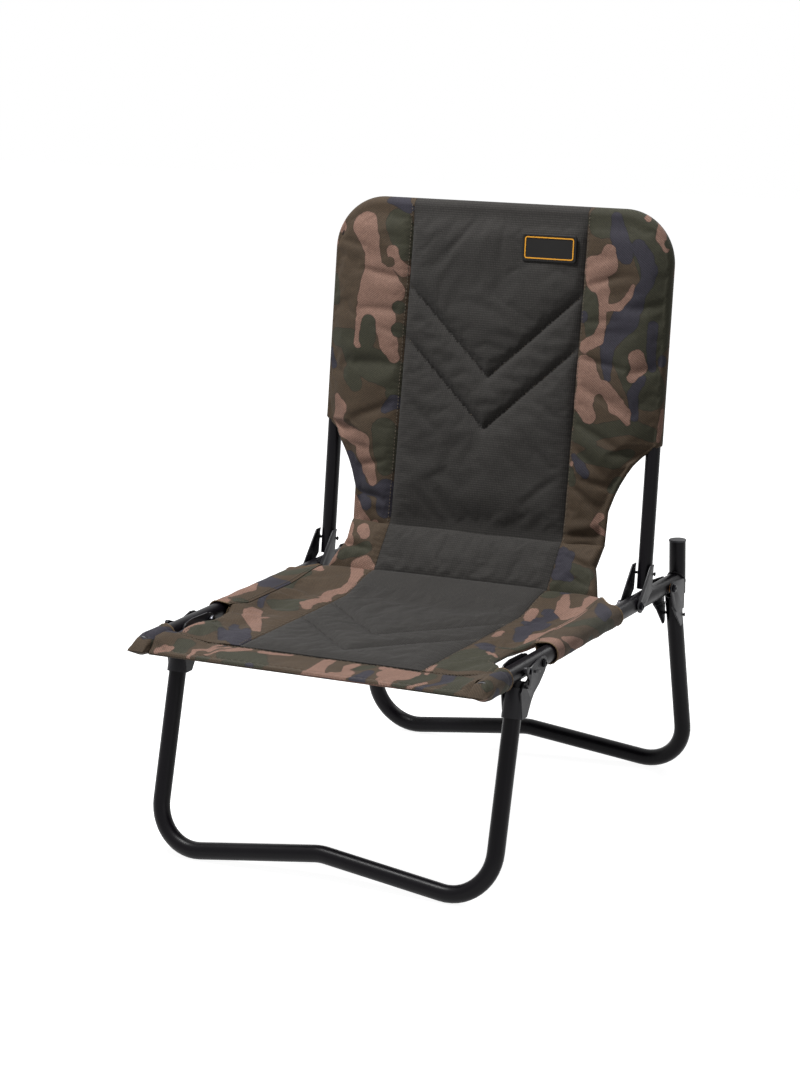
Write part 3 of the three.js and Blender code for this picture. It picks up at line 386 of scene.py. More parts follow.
def finished(bm, name, finish, body, stands_for=(), tidy=True, settle=None):
    """A mesh object with its finish, slot and body, in place of the CAD pieces that it stands for."""
    if tidy:
        bmesh.ops.remove_doubles(bm, verts=bm.verts, dist=0.00001)
        bmesh.ops.recalc_face_normals(bm, faces=bm.faces)
    mesh = bpy.data.meshes.new(name)
    bm.to_mesh(mesh)
    bm.free()
    mesh.materials.append(finish)
    mesh.shade_smooth()
    mesh.set_sharp_from_angle(angle=SHARP)
    piece = in_scene(name, mesh)
    if settle:
        settled(piece, *settle)
    if stands_for:
        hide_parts(*stands_for)
    if body:
        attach(piece, body)
    return piece


# %% [markdown]
# ## Tubes
# A tube bender pushes a tube forward and rolls it round a die. The same two moves work on a
# mesh: a ring of edges is extruded for each straight and spun for each bend. The rings have 40
# sides, so the highlight along the tube is one clean line. The ends are cut square, with the
# wall showing.

# %% Tube bending
TUBE_SIDES = 40
BEND_STEPS = 14


def verts_of(geom):
    return [g for g in geom if isinstance(g, bmesh.types.BMVert)]


def edges_of(geom):
    return [g for g in geom if isinstance(g, bmesh.types.BMEdge)]


def open_end(bm, edges, wall):
    """Closes a ring with a rim as wide as the wall and a short bore behind it."""
    cap = bmesh.ops.contextual_create(bm, geom=edges)["faces"]
    bmesh.ops.recalc_face_normals(bm, faces=bm.faces)
    bmesh.ops.inset_region(bm, faces=cap, thickness=wall, use_boundary=True, use_even_offset=True)
    normal = cap[0].normal.copy()
    deeper = bmesh.ops.extrude_discrete_faces(bm, faces=cap)["faces"]
    bmesh.ops.translate(bm, verts=deeper[0].verts, vec=-normal * wall * 4)


def tube_through(radius, corners, bends):
    """A tube along straight runs between corners, each corner rounded to its own radius."""
    bm = bmesh.new()
    heading = (corners[1] - corners[0]).normalized()
    turn = heading.to_track_quat("Z", "Y").to_matrix().to_4x4()
    place = Matrix.Translation(corners[0]) @ turn
    bmesh.ops.create_circle(bm, segments=TUBE_SIDES, radius=radius, matrix=place)
    first = bm.edges[:]
    ring = first
    reached = corners[0]
    for i in range(1, len(corners)):
        heading = (corners[i] - corners[i - 1]).normalized()
        last = i == len(corners) - 1
        if last:
            target = corners[i]
        else:
            leaving = (corners[i + 1] - corners[i]).normalized()
            angle = heading.angle(leaving)
            target = corners[i] - heading * bends[i - 1] * math.tan(angle / 2)
        out = bmesh.ops.extrude_edge_only(bm, edges=ring)["geom"]
        bmesh.ops.translate(bm, verts=verts_of(out), vec=target - reached)
        ring = edges_of(out)
        reached = target
        if last:
            break
        axis = heading.cross(leaving).normalized()
        centre = target + axis.cross(heading) * bends[i - 1]
        out = bmesh.ops.spin(bm, geom=ring, cent=centre, axis=axis, angle=angle, steps=BEND_STEPS)
        ring = edges_of(out["geom_last"])
        reached = centre + Matrix.Rotation(angle, 3, axis) @ (target - centre)
    open_end(bm, first, WALL * MM)
    open_end(bm, ring, WALL * MM)
    return bm


for side, sign in SIDES.items():
    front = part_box(f"seat_rail_{side}")[0].y
    low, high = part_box(f"rear_post_{side}")
    x, y, z = sign * RAIL_X * MM, (low.y + high.y) / 2, LEVEL * MM
    rail = tube_through(RAIL_R * MM, [Vector((x, front, z)), Vector((x, y - RAIL_R * 0.6 * MM, z))], [])
    finished(rail, f"side_rail_{side}", powder_coat, "seat_frame", [f"seat_rail_{side}"])
    post = tube_through(RAIL_R * MM, [Vector((x, y, low.z)), Vector((x, y, high.z))], [])
    finished(post, f"post_{side}", powder_coat, "seat_frame", [f"rear_post_{side}"])

FOOT_BEND, KINK_BEND, KINK_RISE = 58.0, 70.0, 30.0


def leg_hoop(body, lean_degrees, reach_back, top):
    """A leg hoop in its own leaning plane: two legs, two feet and a bar raised in the middle."""
    lean = math.radians(lean_degrees)
    down = Vector((0, math.sin(lean), -math.cos(lean)))
    slope = math.atan2(KINK_RISE, RAIL_X)
    lowest = (LEVEL - RAIL_R) / math.cos(lean)
    foot = lowest + FOOT_BEND * ((1 + math.sin(slope)) / math.cos(slope) - 1)
    start = Vector((0, reach_back, 0))

    def spot(x, run):
        p = start + down * run
        return at_rail(x, p.y, p.z)

    first = -top / math.cos(lean)
    corners = [spot(-RAIL_X, first), spot(-RAIL_X, foot), spot(0, foot - KINK_RISE), spot(RAIL_X, foot),
               spot(RAIL_X, first)]
    bm = tube_through(RAIL_R * MM, corners, [FOOT_BEND * MM, KINK_BEND * MM, FOOT_BEND * MM])
    leg = body[:-1]
    finished(bm, f"{leg}_tube", powder_coat, body, [f"{leg}_hoop"])


FRONT_LEG_AT, FRONT_LEAN = 92.3, -16.7
REAR_LEG_AT, REAR_LEAN, REAR_TOP = 558.6, 10.1, -18.6
leg_hoop("front_legs", FRONT_LEAN, FRONT_LEG_AT, -RAIL_R - 0.3)
leg_hoop("rear_legs", REAR_LEAN, REAR_LEG_AT, REAR_TOP)

HOOP_LOW = 13
corners = [at_back(x, rise, 0) for x, rise in ((-RAIL_X, HOOP_LOW), (-RAIL_X, HOOP_TOP), (RAIL_X, HOOP_TOP),
                                               (RAIL_X, HOOP_LOW))]
bm = tube_through(BACK_R * MM, corners, [HOOP_BEND * MM, HOOP_BEND * MM])
finished(bm, "backrest_tube", powder_coat, "backrest", ["backrest_hoop"])
print("tubes bent")

# %% [markdown]
# ## Sheet metal brackets
# The brackets are cut and pressed from 2 mm sheet, tumbled so that no edge is sharp, and painted
# with the tubes. Each is a copy of its CAD solid: the loose triangles are merged, flat faces are
# made whole, and every real edge gets a small rounding that catches the light.

# %% Sheet metal brackets
BREAK_EDGE = 0.35


def dressed(node, body, finish, rounding=BREAK_EDGE):
    """A smoothed and edge-rounded copy of a CAD solid that takes its place."""
    bm = bmesh.new()
    bm.from_mesh(frame["nodes"][node].data)
    bmesh.ops.remove_doubles(bm, verts=bm.verts, dist=0.00001)
    bmesh.ops.dissolve_limit(bm, angle_limit=math.radians(2), verts=bm.verts, edges=bm.edges)
    hard = [e for e in bm.edges if len(e.link_faces) == 2 and e.calc_face_angle(0) > math.radians(40)]
    bmesh.ops.bevel(bm, geom=hard, offset=rounding * MM, segments=2, profile=0.5, affect="EDGES",
                    material=-1, clamp_overlap=True)
    finished(bm, f"{node}_rounded", finish, body, [node])


for side in SIDES:
    dressed(f"front_leg_bracket_{side}", "front_legs", sheet_paint)
    for face in ("outer", "inner"):
        dressed(f"rear_leg_plate_{face}_{side}", "rear_legs", sheet_paint)
        dressed(f"backrest_plate_{face}_{side}", "backrest", sheet_paint)
    dressed(f"catch_lever_{side}", f"catch_{side}", sheet_paint, 0.3)
    for joint in ("front", "backrest", "rear"):
        dressed(f"{joint}_pivot_nut_{side}", "seat_frame", zinc, 0.4)
print("brackets, levers and nuts rounded")

# %% [markdown]
# ## Turned fasteners
# Bolts, rivets, pins and caps are round, so they are made as a lathe makes them: a ring is pulled
# along the axis and changed in width at each step of a profile. The bolts have a socket for a
# key, which is left round. The rivets were painted over with the frame.

# %% Turned fasteners
LATHE_SIDES = 32


def lathed(node, body, finish, profile, axis="X", outward=1):
    """A profile of (share of the length, mm more, radius in mm) turned inside a CAD node's box."""
    low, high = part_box(node)
    centre = (low + high) / 2
    long = (high.x - low.x if axis == "X" else high.z - low.z) / MM
    bm = bmesh.new()
    radius, level = profile[0][2], 0.0
    bmesh.ops.create_circle(bm, segments=LATHE_SIDES, radius=radius)
    first = ring = bm.edges[:]
    for share, extra, to_radius in profile[1:]:
        at = share * long + extra
        out = bmesh.ops.extrude_edge_only(bm, edges=ring)["geom"]
        new, ring = verts_of(out), edges_of(out)
        bmesh.ops.translate(bm, verts=new, vec=(0, 0, at - level))
        bmesh.ops.scale(bm, verts=new, vec=(to_radius / radius, to_radius / radius, 1))
        radius, level = to_radius, at
    bmesh.ops.contextual_create(bm, geom=first)
    bmesh.ops.contextual_create(bm, geom=ring)
    turn = Matrix.Rotation(math.pi / 2 * outward, 4, "Y") if axis == "X" else Matrix.Identity(4)
    place = Matrix.Translation(centre) @ turn @ Matrix.Scale(MM, 4) @ Matrix.Translation((0, 0, -long / 2))
    bmesh.ops.transform(bm, matrix=place, verts=bm.verts)
    finished(bm, f"{node}_turned", finish, body, [node])


BOLT = ((0, 0, 2.4), (0, 0.6, 3.0), (1, -3.0, 3.0), (1, -3.0, 5.3), (1, -2.9, 5.4), (1, -1.5, 5.4),
        (1, -0.5, 4.7), (1, 0, 3.7), (1, 0, 2.15), (1, -0.15, 2.05), (1, -1.9, 2.0))
RIVET = ((0, 0, 1.4), (0, 0.4, 2.5), (0, 0.9, 3.0), (0, 1.0, 1.8), (1, -1.0, 1.8), (1, -0.9, 3.0),
         (1, -0.4, 2.5), (1, 0, 1.4))
PIN = ((0, 0, 2.1), (1, -1.6, 2.2), (1, -1.6, 3.6), (1, -1.5, 3.7), (1, -0.5, 3.7), (1, 0, 2.9))
WASHER = ((0, 0, 6.2), (0, 0.25, 6.5), (1, -0.25, 6.5), (1, 0, 6.2))
for side, sign in SIDES.items():
    for joint in ("front", "backrest", "rear"):
        lathed(f"{joint}_pivot_bolt_{side}", "seat_frame", black_bolt, BOLT, outward=sign)
    lathed(f"rear_leg_rivet_{side}", "rear_legs", powder_coat, RIVET)
    lathed(f"backrest_rivet_{side}", "backrest", powder_coat, RIVET)
    lathed(f"catch_pin_{side}", "seat_frame", black_bolt, PIN, outward=sign)
    lathed(f"rear_pivot_washer_{side}", "seat_frame", copper_washer, WASHER)
    low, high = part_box(f"post_cap_{side}")
    rim = (high.x - low.x) / 2 / MM
    CAP = ((0, 0, 9.0), (0, 0.5, 9.4), (1, -2.4, 9.4), (1, -2.4, rim - 0.2), (1, -2.2, rim),
           (1, -0.9, rim), (1, -0.3, rim - 0.5), (1, -0.05, rim - 1.6), (1, 0, rim - 5))
    lathed(f"post_cap_{side}", "seat_frame", moulded_plastic, CAP, "Z")
    for node, finish in ((f"rail_end_plug_{side}", moulded_plastic), (f"catch_spring_{side}", zinc)):
        mesh = frame["nodes"][node].data
        mesh.materials.clear()
        mesh.materials.append(finish)
        mesh.shade_smooth()
        mesh.set_sharp_from_angle(angle=SHARP)
print("fasteners turned")

# %% [markdown]
# ## Weld beads
# The rail is welded to its post all the way round the joint. A weld is a row of small pools of
# metal that froze one over another, so it is a ring of overlapping flattened drops along the
# curve where the two tubes meet.

# %% Weld beads
DROPS, DROP_R = 46, 1.9
for side, sign in SIDES.items():
    low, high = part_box(f"rear_post_{side}")
    post_y = (low.y + high.y) / 2 / MM - FRONT
    bm = bmesh.new()
    for i in range(DROPS):
        angle = 2 * math.pi * i / DROPS
        across, up = RAIL_R * math.cos(angle), RAIL_R * math.sin(angle)
        behind = math.sqrt(max((RAIL_R + 0.25) ** 2 - across * across, 0.3))
        size = DROP_R * (1 + 0.16 * noise.noise((i * 0.9, sign, 3)))
        spot = at_rail(sign * RAIL_X + across * 1.06, post_y - behind - 0.4, up * 1.06)
        squeeze = Matrix.Diagonal((size * MM, size * 0.8 * MM, size * MM, 1))
        lean = Matrix.Rotation(angle, 4, "Y")
        bmesh.ops.create_icosphere(bm, subdivisions=2, radius=1,
                                   matrix=Matrix.Translation(spot) @ lean @ squeeze)
    finished(bm, f"weld_bead_{side}", powder_coat, "seat_frame", tidy=False)
print("welds laid")

# %% [markdown]
# ## Quilted panels
# Each panel of the sling is a front and a rear cloth with thin foam between, sewn together round
# its edges and along the chevrons. Here both cloths are grids laid on a surface function, and
# their borders are bridged, as a sewing machine would close them. Stitches pull the cloth down
# in a sharp valley, so the puff grows quickly beside a seam and then levels off.

# %% Tools for quilted panels
VALLEY = 6.0
PUCKER_PITCH = 8.5


def valley(distance, width=VALLEY):
    """1 on a sewn line, falling away quickly beside it."""
    return math.exp(-abs(distance) / width)


def pucker(distance, along, seed=0.0):
    """Small ripples across a seam, as thread tension makes them."""
    wave = math.sin(2 * math.pi * along / PUCKER_PITCH + 3 * noise.noise((along / 22, seed, 0)))
    return 0.42 * wave * math.exp(-abs(distance) / 7)


def rumple(x, y, seed, wide=70.0, high=1.0):
    """Slack cloth: broad waves with a little fine unevenness."""
    broad = noise.noise((x / wide, y / wide, seed))
    fine = noise.noise((x / 17, y / 17, seed + 7))
    return high * broad + 0.22 * fine


def segment_distance(x, y, a, b):
    """Distance from a point to a straight piece, and how far along it the nearest place is."""
    ax, ay, bx, by = a[0], a[1], b[0], b[1]
    dx, dy = bx - ax, by - ay
    t = clamp(((x - ax) * dx + (y - ay) * dy) / max(dx * dx + dy * dy, 1e-9))
    return math.hypot(x - ax - t * dx, y - ay - t * dy), t


def folds(x, y, lines):
    """The sum of pressed or pushed-up folds: each runs from x, y to x, y, with a height and width."""
    total = 0.0
    for from_x, from_y, to_x, to_y, height, width in lines:
        d, t = segment_distance(x, y, (from_x, from_y), (to_x, to_y))
        if d < width * 3:
            total += height * math.exp(-((d / width) ** 2)) * math.sin(math.pi * clamp(0.12 + 0.76 * t))
    return total


def run_to_roll(t, start, end, roll, share):
    """Even steps from start, and then steps that turn evenly round the rolled edge at end."""
    if t < share:
        return mix(start, end - roll, t / share)
    return end - roll + roll * math.sin((t - share) / (1 - share) * math.pi / 2)


def weave_uv(bm):
    """The flat cloth in metres as a UV map, which the weave is drawn on."""
    kept = bm.verts.layers.float_vector["flat_place"]
    cloth = bm.loops.layers.uv.new("cloth")
    for face in bm.faces:
        for loop in face.loops:
            u, w, _ = loop.vert[kept]
            loop[cloth].uv = (u * MM, w * MM)


def quilted(columns, rows, surface, flat, sewn=None):
    """Two grids of cloth closed round their borders, with their flat places kept for the weave.
    surface(a, b, rear) gives a place of either cloth. sewn(u, w) is the distance from a place of
    the front to the nearest line that holds it."""
    bm = bmesh.new()
    kept = bm.verts.layers.float_vector.new("flat_place")
    held = bm.verts.layers.float.new("held")
    for side in (0, 1):
        made = bmesh.ops.create_grid(bm, x_segments=columns, y_segments=rows, size=0.5)["verts"]
        for v in made:
            a, b = v.co.x + 0.5, v.co.y + 0.5
            u, w = flat(a, b)
            v[kept] = (u, w, side)
            v[held] = 1 if side or sewn is None else 1 - ease(sewn(u, w), 1.5, 6)
            v.co = surface(a, b, side)
    bmesh.ops.bridge_loops(bm, edges=[e for e in bm.edges if e.is_boundary])
    bmesh.ops.remove_doubles(bm, verts=bm.verts, dist=0.00002)
    bmesh.ops.recalc_face_normals(bm, faces=bm.faces)
    weave_uv(bm)
    return bm


CLOTH = 1.2


def single_cloth(columns, rows, place, flat, outward, closed_below=None):
    """One thickness of cloth, turned to face outward and made solid inwards. With closed_below, in
    metres, its edges are joined where they meet, and the end ahead of that line is shut."""
    bm = bmesh.new()
    kept = bm.verts.layers.float_vector.new("flat_place")
    for v in bmesh.ops.create_grid(bm, x_segments=columns, y_segments=rows, size=0.5)["verts"]:
        a, b = v.co.x + 0.5, v.co.y + 0.5
        v[kept] = (*flat(a, b), 0)
        v.co = place(a, b)
    if closed_below:
        bmesh.ops.remove_doubles(bm, verts=bm.verts, dist=0.00002)
        tip = [e for e in bm.edges if e.is_boundary and max(v.co.y for v in e.verts) < closed_below]
        bmesh.ops.contextual_create(bm, geom=tip)
    bmesh.ops.recalc_face_normals(bm, faces=bm.faces)
    outer = max(bm.faces, key=lambda f: f.calc_center_median().dot(outward))
    if outer.normal.dot(outward) < 0:
        bmesh.ops.reverse_faces(bm, faces=bm.faces)
    bmesh.ops.solidify(bm, geom=bm.faces[:], thickness=CLOTH * MM)
    bmesh.ops.recalc_face_normals(bm, faces=bm.faces)
    weave_uv(bm)
    return bm


def sewn_panel(bm, name, body, node, strokes=None, seed=0.0, settle=None):
    """A finished panel: printed where it has strokes, plain where it has none."""
    if strokes:
        printed(bm, strokes, seed)
        return finished(bm, name, printed_cloth, body, [node], tidy=False, settle=settle)
    return finished(bm, name, plain_cloth, body, [node], tidy=False, settle=settle)


# %% [markdown]
# ## Letting the cloth settle
# The sewn cloth is a little larger than the foam under it, so between its stitches it puffs and
# buckles. A short cloth simulation finds those folds: the rear and the stitched lines are held,
# the front cloth is grown by a few hundredths and pushed out by a light pressure. There is no
# gravity, since only the shape of the puff is wanted, and no place may move further than a few
# millimetres.

# %% Letting the cloth settle
SETTLE_FRAMES = 14
MOST_MOVED = 6.0
CLOTH_SETTINGS = {"quality": 5, "mass": 0.15, "tension_stiffness": 12, "compression_stiffness": 12,
                  "shear_stiffness": 4, "bending_stiffness": 0.5, "air_damping": 3, "use_pressure": True,
                  "vertex_group_mass": "sewn"}


def settled(piece, growth, pressure):
    """Runs the simulation on a panel and keeps its last frame."""
    mesh = piece.data
    held = [spot.value for spot in mesh.attributes["held"].data]
    start = [v.co.copy() for v in mesh.vertices]
    group = piece.vertex_groups.new(name="sewn")
    for i in range(len(start)):
        if held[i] > 0.01:
            group.add([i], held[i], "REPLACE")
    modifier = piece.modifiers.new("cloth", "CLOTH")
    cloth = modifier.settings
    for setting, value in CLOTH_SETTINGS.items():
        setattr(cloth, setting, value)
    cloth.shrink_min = -growth
    cloth.uniform_pressure_force = pressure
    cloth.effector_weights.gravity = 0
    modifier.collision_settings.use_collision = False
    modifier.point_cache.frame_start, modifier.point_cache.frame_end = 1, SETTLE_FRAMES
    for frame_number in range(1, SETTLE_FRAMES + 1):
        scene.frame_set(frame_number)
    shape = piece.evaluated_get(bpy.context.evaluated_depsgraph_get()).data
    ends = [v.co.copy() for v in shape.vertices]
    piece.modifiers.remove(modifier)
    piece.vertex_groups.remove(group)
    for vertex, before, after in zip(mesh.vertices, start, ends):
        moved = after - before
        moved /= 1 + (moved.length / MOST_MOVED / MM) ** 2 / 2
        vertex.co = before + moved
    scene.frame_set(1)
    print(piece.name, "settled")


# %% [markdown]
# ## The printed pattern
# The print has three inks on a brown ground. Each shape is a run of round dabs, like a thick
# brush stroke. For every vertex the distance to the nearest stroke's edge is worked out, and the
# finish draws the shape where that distance is positive, so edges stay crisp at any zoom. The
# strokes are rows of dabs, each written as across, along and half width, all in millimetres.
# Hidden rear faces are printed from noise instead.

# %% The printed pattern
UNION, REACH, OUTSIDE = 2.5, 14, -60.0
HIDDEN_INKS = {"green": (0, 0.02), "navy": (5, 0.27), "tan": (9, 0.24)}


def stroke_field(u, v, strokes):
    """Signed distance in mm to the edge of a set of brush strokes, positive inside."""
    best = OUTSIDE
    for row in strokes:
        dabs = [row[i : i + 3] for i in range(0, len(row), 3)]
        for a, b in zip(dabs, dabs[1:] or dabs):
            reach = max(a[2], b[2]) + REACH
            if not (min(a[0], b[0]) - reach < u < max(a[0], b[0]) + reach
                    and min(a[1], b[1]) - reach < v < max(a[1], b[1]) + reach):
                continue
            d, t = segment_distance(u, v, a, b)
            inside = mix(a[2], b[2], t) - d
            close = max(UNION - abs(inside - best), 0) / UNION
            best = max(best, inside) + close * close * UNION / 4
    return best


def noise_field(place, seed, share):
    """A signed distance for hidden cloth: blobs some 70 mm long."""
    stretched = Vector((place.x / 62, place.y / 40, place.z / 40)) + Vector((seed, seed * 1.7, 0))
    return (noise.noise(stretched) + 0.25 * noise.noise(stretched * 2.3) - share) * 48


def printed(bm, pattern, seed):
    """Writes the three ink fields, from strokes on the front and from noise on the rear. The
    strokes named over are gaps in the tan."""
    kept = bm.verts.layers.float_vector["flat_place"]
    inks = {ink: bm.verts.layers.float.new(ink) for ink in INKS}
    for v in bm.verts:
        u, w, side = v[kept]
        for ink, layer in inks.items():
            if side > 0.5:
                later, share = HIDDEN_INKS[ink]
                v[layer] = noise_field(v.co / MM, seed + later, share)
            else:
                v[layer] = stroke_field(u, w, pattern.get(ink, ()))
        if side <= 0.5:
            v[inks["tan"]] = min(v[inks["tan"]], -stroke_field(u, w, pattern.get("over", ())))


BACK_LEFT = {
    "tan": (
        (195, 463, 18, 186, 445, 15, 180, 425, 11, 177, 405, 13, 176, 385, 18, 176, 365, 20, 178, 345, 18),
        (165, 390, 22, 150, 375, 18, 172, 365, 22), (155, 345, 14, 152, 325, 14, 148, 305, 12, 140, 288, 8),
        (191, 350, 6, 191, 325, 5, 191, 303, 6), (152, 430, 8, 148, 415, 8, 135, 405, 9),
        (233, 458, 8, 243, 470, 6), (243, 437, 6),
        (219, 230, 4, 212, 214, 11, 217, 200, 9, 208, 185, 10, 190, 178, 11, 176, 172, 12, 174, 155, 10,
         165, 135, 11, 158, 120, 7), (190, 92, 10, 185, 75, 12, 170, 62, 12), (150, 60, 8)),
    "navy": (
        (165, 500, 7, 145, 495, 9, 135, 488, 7), (240, 290, 5, 232, 272, 6), (147, 217, 6, 135, 228, 10),
        (196, 148, 9, 185, 128, 12, 172, 108, 8, 150, 106, 8, 137, 112, 12, 136, 85, 14),
        (175, 90, 10, 166, 88, 9)),
    "green": (
        (148, 470, 18, 140, 450, 16, 135, 430, 12), (240, 385, 10, 236, 362, 10),
        (228, 310, 12, 205, 308, 14, 190, 285, 20, 165, 275, 22, 140, 265, 20), (178, 335, 12, 178, 310, 12),
        (200, 262, 12, 190, 248, 10), (135, 240, 12), (145, 190, 16, 140, 165, 18, 140, 140, 12),
        (138, 355, 9), (136, 325, 10)),
    "over": ((178, 333, 10, 178, 310, 12), (138, 355, 9), (136, 325, 10), (155, 415, 7)),
}
BACK_RIGHT = {
    "tan": (
        (162, 447, 9, 160, 430, 15, 140, 425, 14, 148, 408, 15, 158, 395, 9, 160, 375, 5, 160, 350, 5,
         155, 332, 8, 138, 322, 9), (163, 373, 4, 180, 376, 5, 192, 390, 4, 197, 404, 3),
        (140, 295, 16, 150, 270, 18, 140, 250, 14, 152, 232, 10),
        (170, 268, 12, 185, 250, 12, 198, 240, 8, 203, 228, 4), (208, 313, 10, 212, 300, 9, 204, 285, 6),
        (232, 485, 8, 228, 468, 8, 235, 455, 6), (210, 492, 5), (247, 245, 4, 246, 225, 6, 243, 208, 4),
        (178, 103, 5, 172, 92, 4, 180, 84, 4, 188, 80, 3), (133, 168, 4)),
    "navy": (
        (168, 490, 8, 172, 470, 11, 180, 450, 13, 185, 440, 9),
        (200, 455, 9, 210, 440, 10, 215, 425, 10, 214, 410, 8, 205, 395, 9, 200, 375, 10, 190, 360, 18,
         180, 345, 14, 170, 325, 10, 170, 300, 7, 174, 282, 4), (224, 355, 6, 224, 325, 5, 226, 300, 5),
        (240, 310, 8), (215, 285, 6, 207, 265, 6, 210, 235, 5), (135, 178, 4, 147, 165, 7, 155, 157, 6),
        (132, 360, 8)),
    "green": (
        (150, 485, 22, 200, 490, 25, 235, 420, 30, 240, 360, 30, 200, 310, 22, 225, 270, 25),
        (132, 226, 10, 160, 212, 10, 206, 224, 10, 232, 214, 9), (132, 205, 7, 158, 196, 7),
        (146, 178, 7, 166, 182, 12, 190, 178, 11, 204, 188, 7), (128, 160, 8, 136, 146, 7),
        (196, 150, 7, 190, 140, 6), (140, 385, 16, 150, 340, 12)),
    "over": ((163, 256, 6, 168, 244, 8, 180, 224, 5), (238, 460, 6, 247, 462, 6)),
}
SEAT_RIGHT = {
    "tan": (
        (160, 386, 4, 165, 366, 8, 172, 345, 9, 188, 333, 12, 204, 332, 9),
        (190, 394, 8, 200, 375, 12, 205, 352, 11, 190, 346, 13), (210, 322, 4, 209, 280, 4, 208, 240, 5),
        (198, 259, 6, 186, 246, 12, 194, 226, 16, 194, 206, 8, 191, 192, 4), (205, 232, 10, 222, 214, 8),
        (137, 335, 9, 141, 318, 7, 146, 302, 4), (137, 242, 6, 141, 222, 5), (130, 75, 5, 135, 56, 5),
        (168, 143, 2.5, 178, 134, 4, 188, 124, 2.5)),
    "navy": (
        (157, 338, 9, 168, 332, 7, 155, 312, 9, 158, 295, 16, 170, 284, 15, 160, 262, 11, 166, 240, 9,
         172, 222, 8, 179, 208, 5), (236, 340, 12, 228, 352, 9),
        (142, 180, 8, 155, 172, 12, 160, 158, 9, 171, 147, 5), (155, 394, 7)),
    "green": (
        (140, 384, 13, 150, 400, 8), (148, 132, 24, 172, 112, 24, 150, 88, 26, 182, 82, 20, 205, 70, 12),
        (195, 178, 12, 180, 168, 9), (188, 300, 8)),
    "over": ((183, 392, 4, 182, 372, 3), (150, 68, 9, 146, 58, 6)),
}
SEAT_LEFT = {
    "tan": (
        (228, 386, 15, 206, 384, 11, 191, 373, 5),
        (150, 396, 9, 140, 376, 8, 135, 352, 6, 138, 330, 8, 148, 317, 9, 146, 300, 9, 137, 286, 7,
         146, 271, 8, 148, 257, 9, 140, 241, 6),
        (185, 196, 8, 182, 180, 11, 176, 167, 12, 165, 153, 9, 154, 137, 7, 141, 117, 5),
        (174, 172, 6, 158, 173, 4), (224, 106, 3, 213, 102, 7, 208, 92, 9, 211, 74, 5, 206, 58, 3)),
    "navy": (
        (213, 290, 6, 209, 265, 4.5, 200, 236, 4.5, 189, 212, 3.5), (177, 130, 4, 172, 116, 6, 162, 104, 9),
        (158, 122, 4, 150, 104, 8), (150, 88, 15, 140, 70, 15, 133, 60, 12),
        (178, 98, 5, 165, 84, 9, 158, 68, 8), (216, 60, 8)),
    "green": (
        (225, 366, 10, 210, 356, 14, 212, 330, 10, 200, 300, 8), (165, 258, 18, 175, 240, 18, 160, 225, 16),
        (200, 118, 8, 192, 98, 14, 195, 72, 16), (222, 86, 8)),
}
BAND = {
    "tan": (
        (-150, 46, 4, -156, 30, 4, -168, 16, 4, -168, 2, 3, -163, -16, 2.5),
        (-136, 44, 3, -143, 34, 3, -152, 24, 4), (-108, 44, 5, -120, 40, 8, -138, 26, 5, -150, 8, 3),
        (-90, 42, 5, -70, 44, 5, -50, 45, 4), (4, 44, 9, 4, 20, 9, 8, 0, 13, 10, -16, 15),
        (28, -16, 16, 42, -2, 16, 44, 12, 12), (34, 26, 8, 42, 42, 6), (80, 44, 8, 100, 42, 10, 122, 38, 9),
        (92, 26, 13, 114, 26, 14), (102, 8, 13, 108, -5, 8, 114, -14, 5),
        (150, 14, 3, 145, 0, 4, 141, -16, 4), (134, 52, 3, 137, 42, 3),
        (-212, -6, 5, -204, 2, 6, -198, 9, 3)),
    "navy": (
        (69, 24, 7, 69, 0, 10, 73, -16, 12), (-80, -4, 5, -75, -16, 6),
        (166, 46, 9, 171, 26, 7, 158, 6, 5, 154, -14, 5), (-146, 54, 9), (-222, 44, 10)),
    "green": (
        (-118, 16, 18, -90, 20, 18, -76, -2, 18, -104, -12, 14), (-146, -6, 10), (-190, 30, 12, -186, 8, 10),
        (142, 34, 12, 130, 4, 9, 127, -14, 8), (178, 34, 14, 196, 18, 14, 188, -8, 13),
        (52, 34, 8, 62, 42, 7)),
    "over": ((22, 42, 4, 25, 24, 7, 31, 13, 6), (-150, 15, 2, -138, 34, 2)),
}
LUMBAR_LEFT = {
    "tan": (
        (193, 55, 12, 188, 42, 8, 178, 35, 6), (165, 55, 10, 158, 47, 8), (195, 20, 9, 190, 8, 9),
        (152, 5, 8, 142, 10, 8, 135, 3, 8)),
    "navy": ((203, 10, 7),),
    "green": ((175, 18, 9, 150, 28, 10),),
}
LUMBAR_RIGHT = {
    "navy": ((135, 50, 12, 145, 35, 12, 150, 48, 8, 138, 25, 10, 155, 20, 6),),
    "green": ((160, 32, 8, 180, 28, 8, 170, 10, 10, 140, 8, 10),),
}
SLEEVE_RIGHT = {
    "tan": (
        (212, 190, 8, 235, 186, 9, 262, 184, 9), (262, 232, 9, 250, 214, 9, 240, 204, 6),
        (208, 322, 4, 209, 280, 5, 208, 240, 6)),
    "navy": ((264, 214, 7, 272, 236, 8), (222, 352, 9, 232, 338, 13, 240, 318, 9)),
    "green": ((236, 280, 13, 248, 300, 14, 262, 330, 14), (266, 262, 9), (222, 252, 9, 230, 270, 10)),
}
SLEEVE_LEFT = {
    "tan": (
        (226, 178, 13, 244, 182, 15, 238, 212, 15, 232, 238, 13, 236, 262, 8), (262, 190, 12, 256, 222, 10),
        (220, 388, 10, 232, 374, 8)),
    "navy": (
        (222, 262, 7, 226, 276, 11, 228, 292, 13, 236, 304, 10), (213, 292, 8, 210, 268, 6), (248, 292, 7)),
    "green": ((238, 340, 14, 224, 336, 13, 210, 348, 10), (250, 322, 9), (212, 196, 8), (262, 282, 9)),
}
print("print strokes ready")

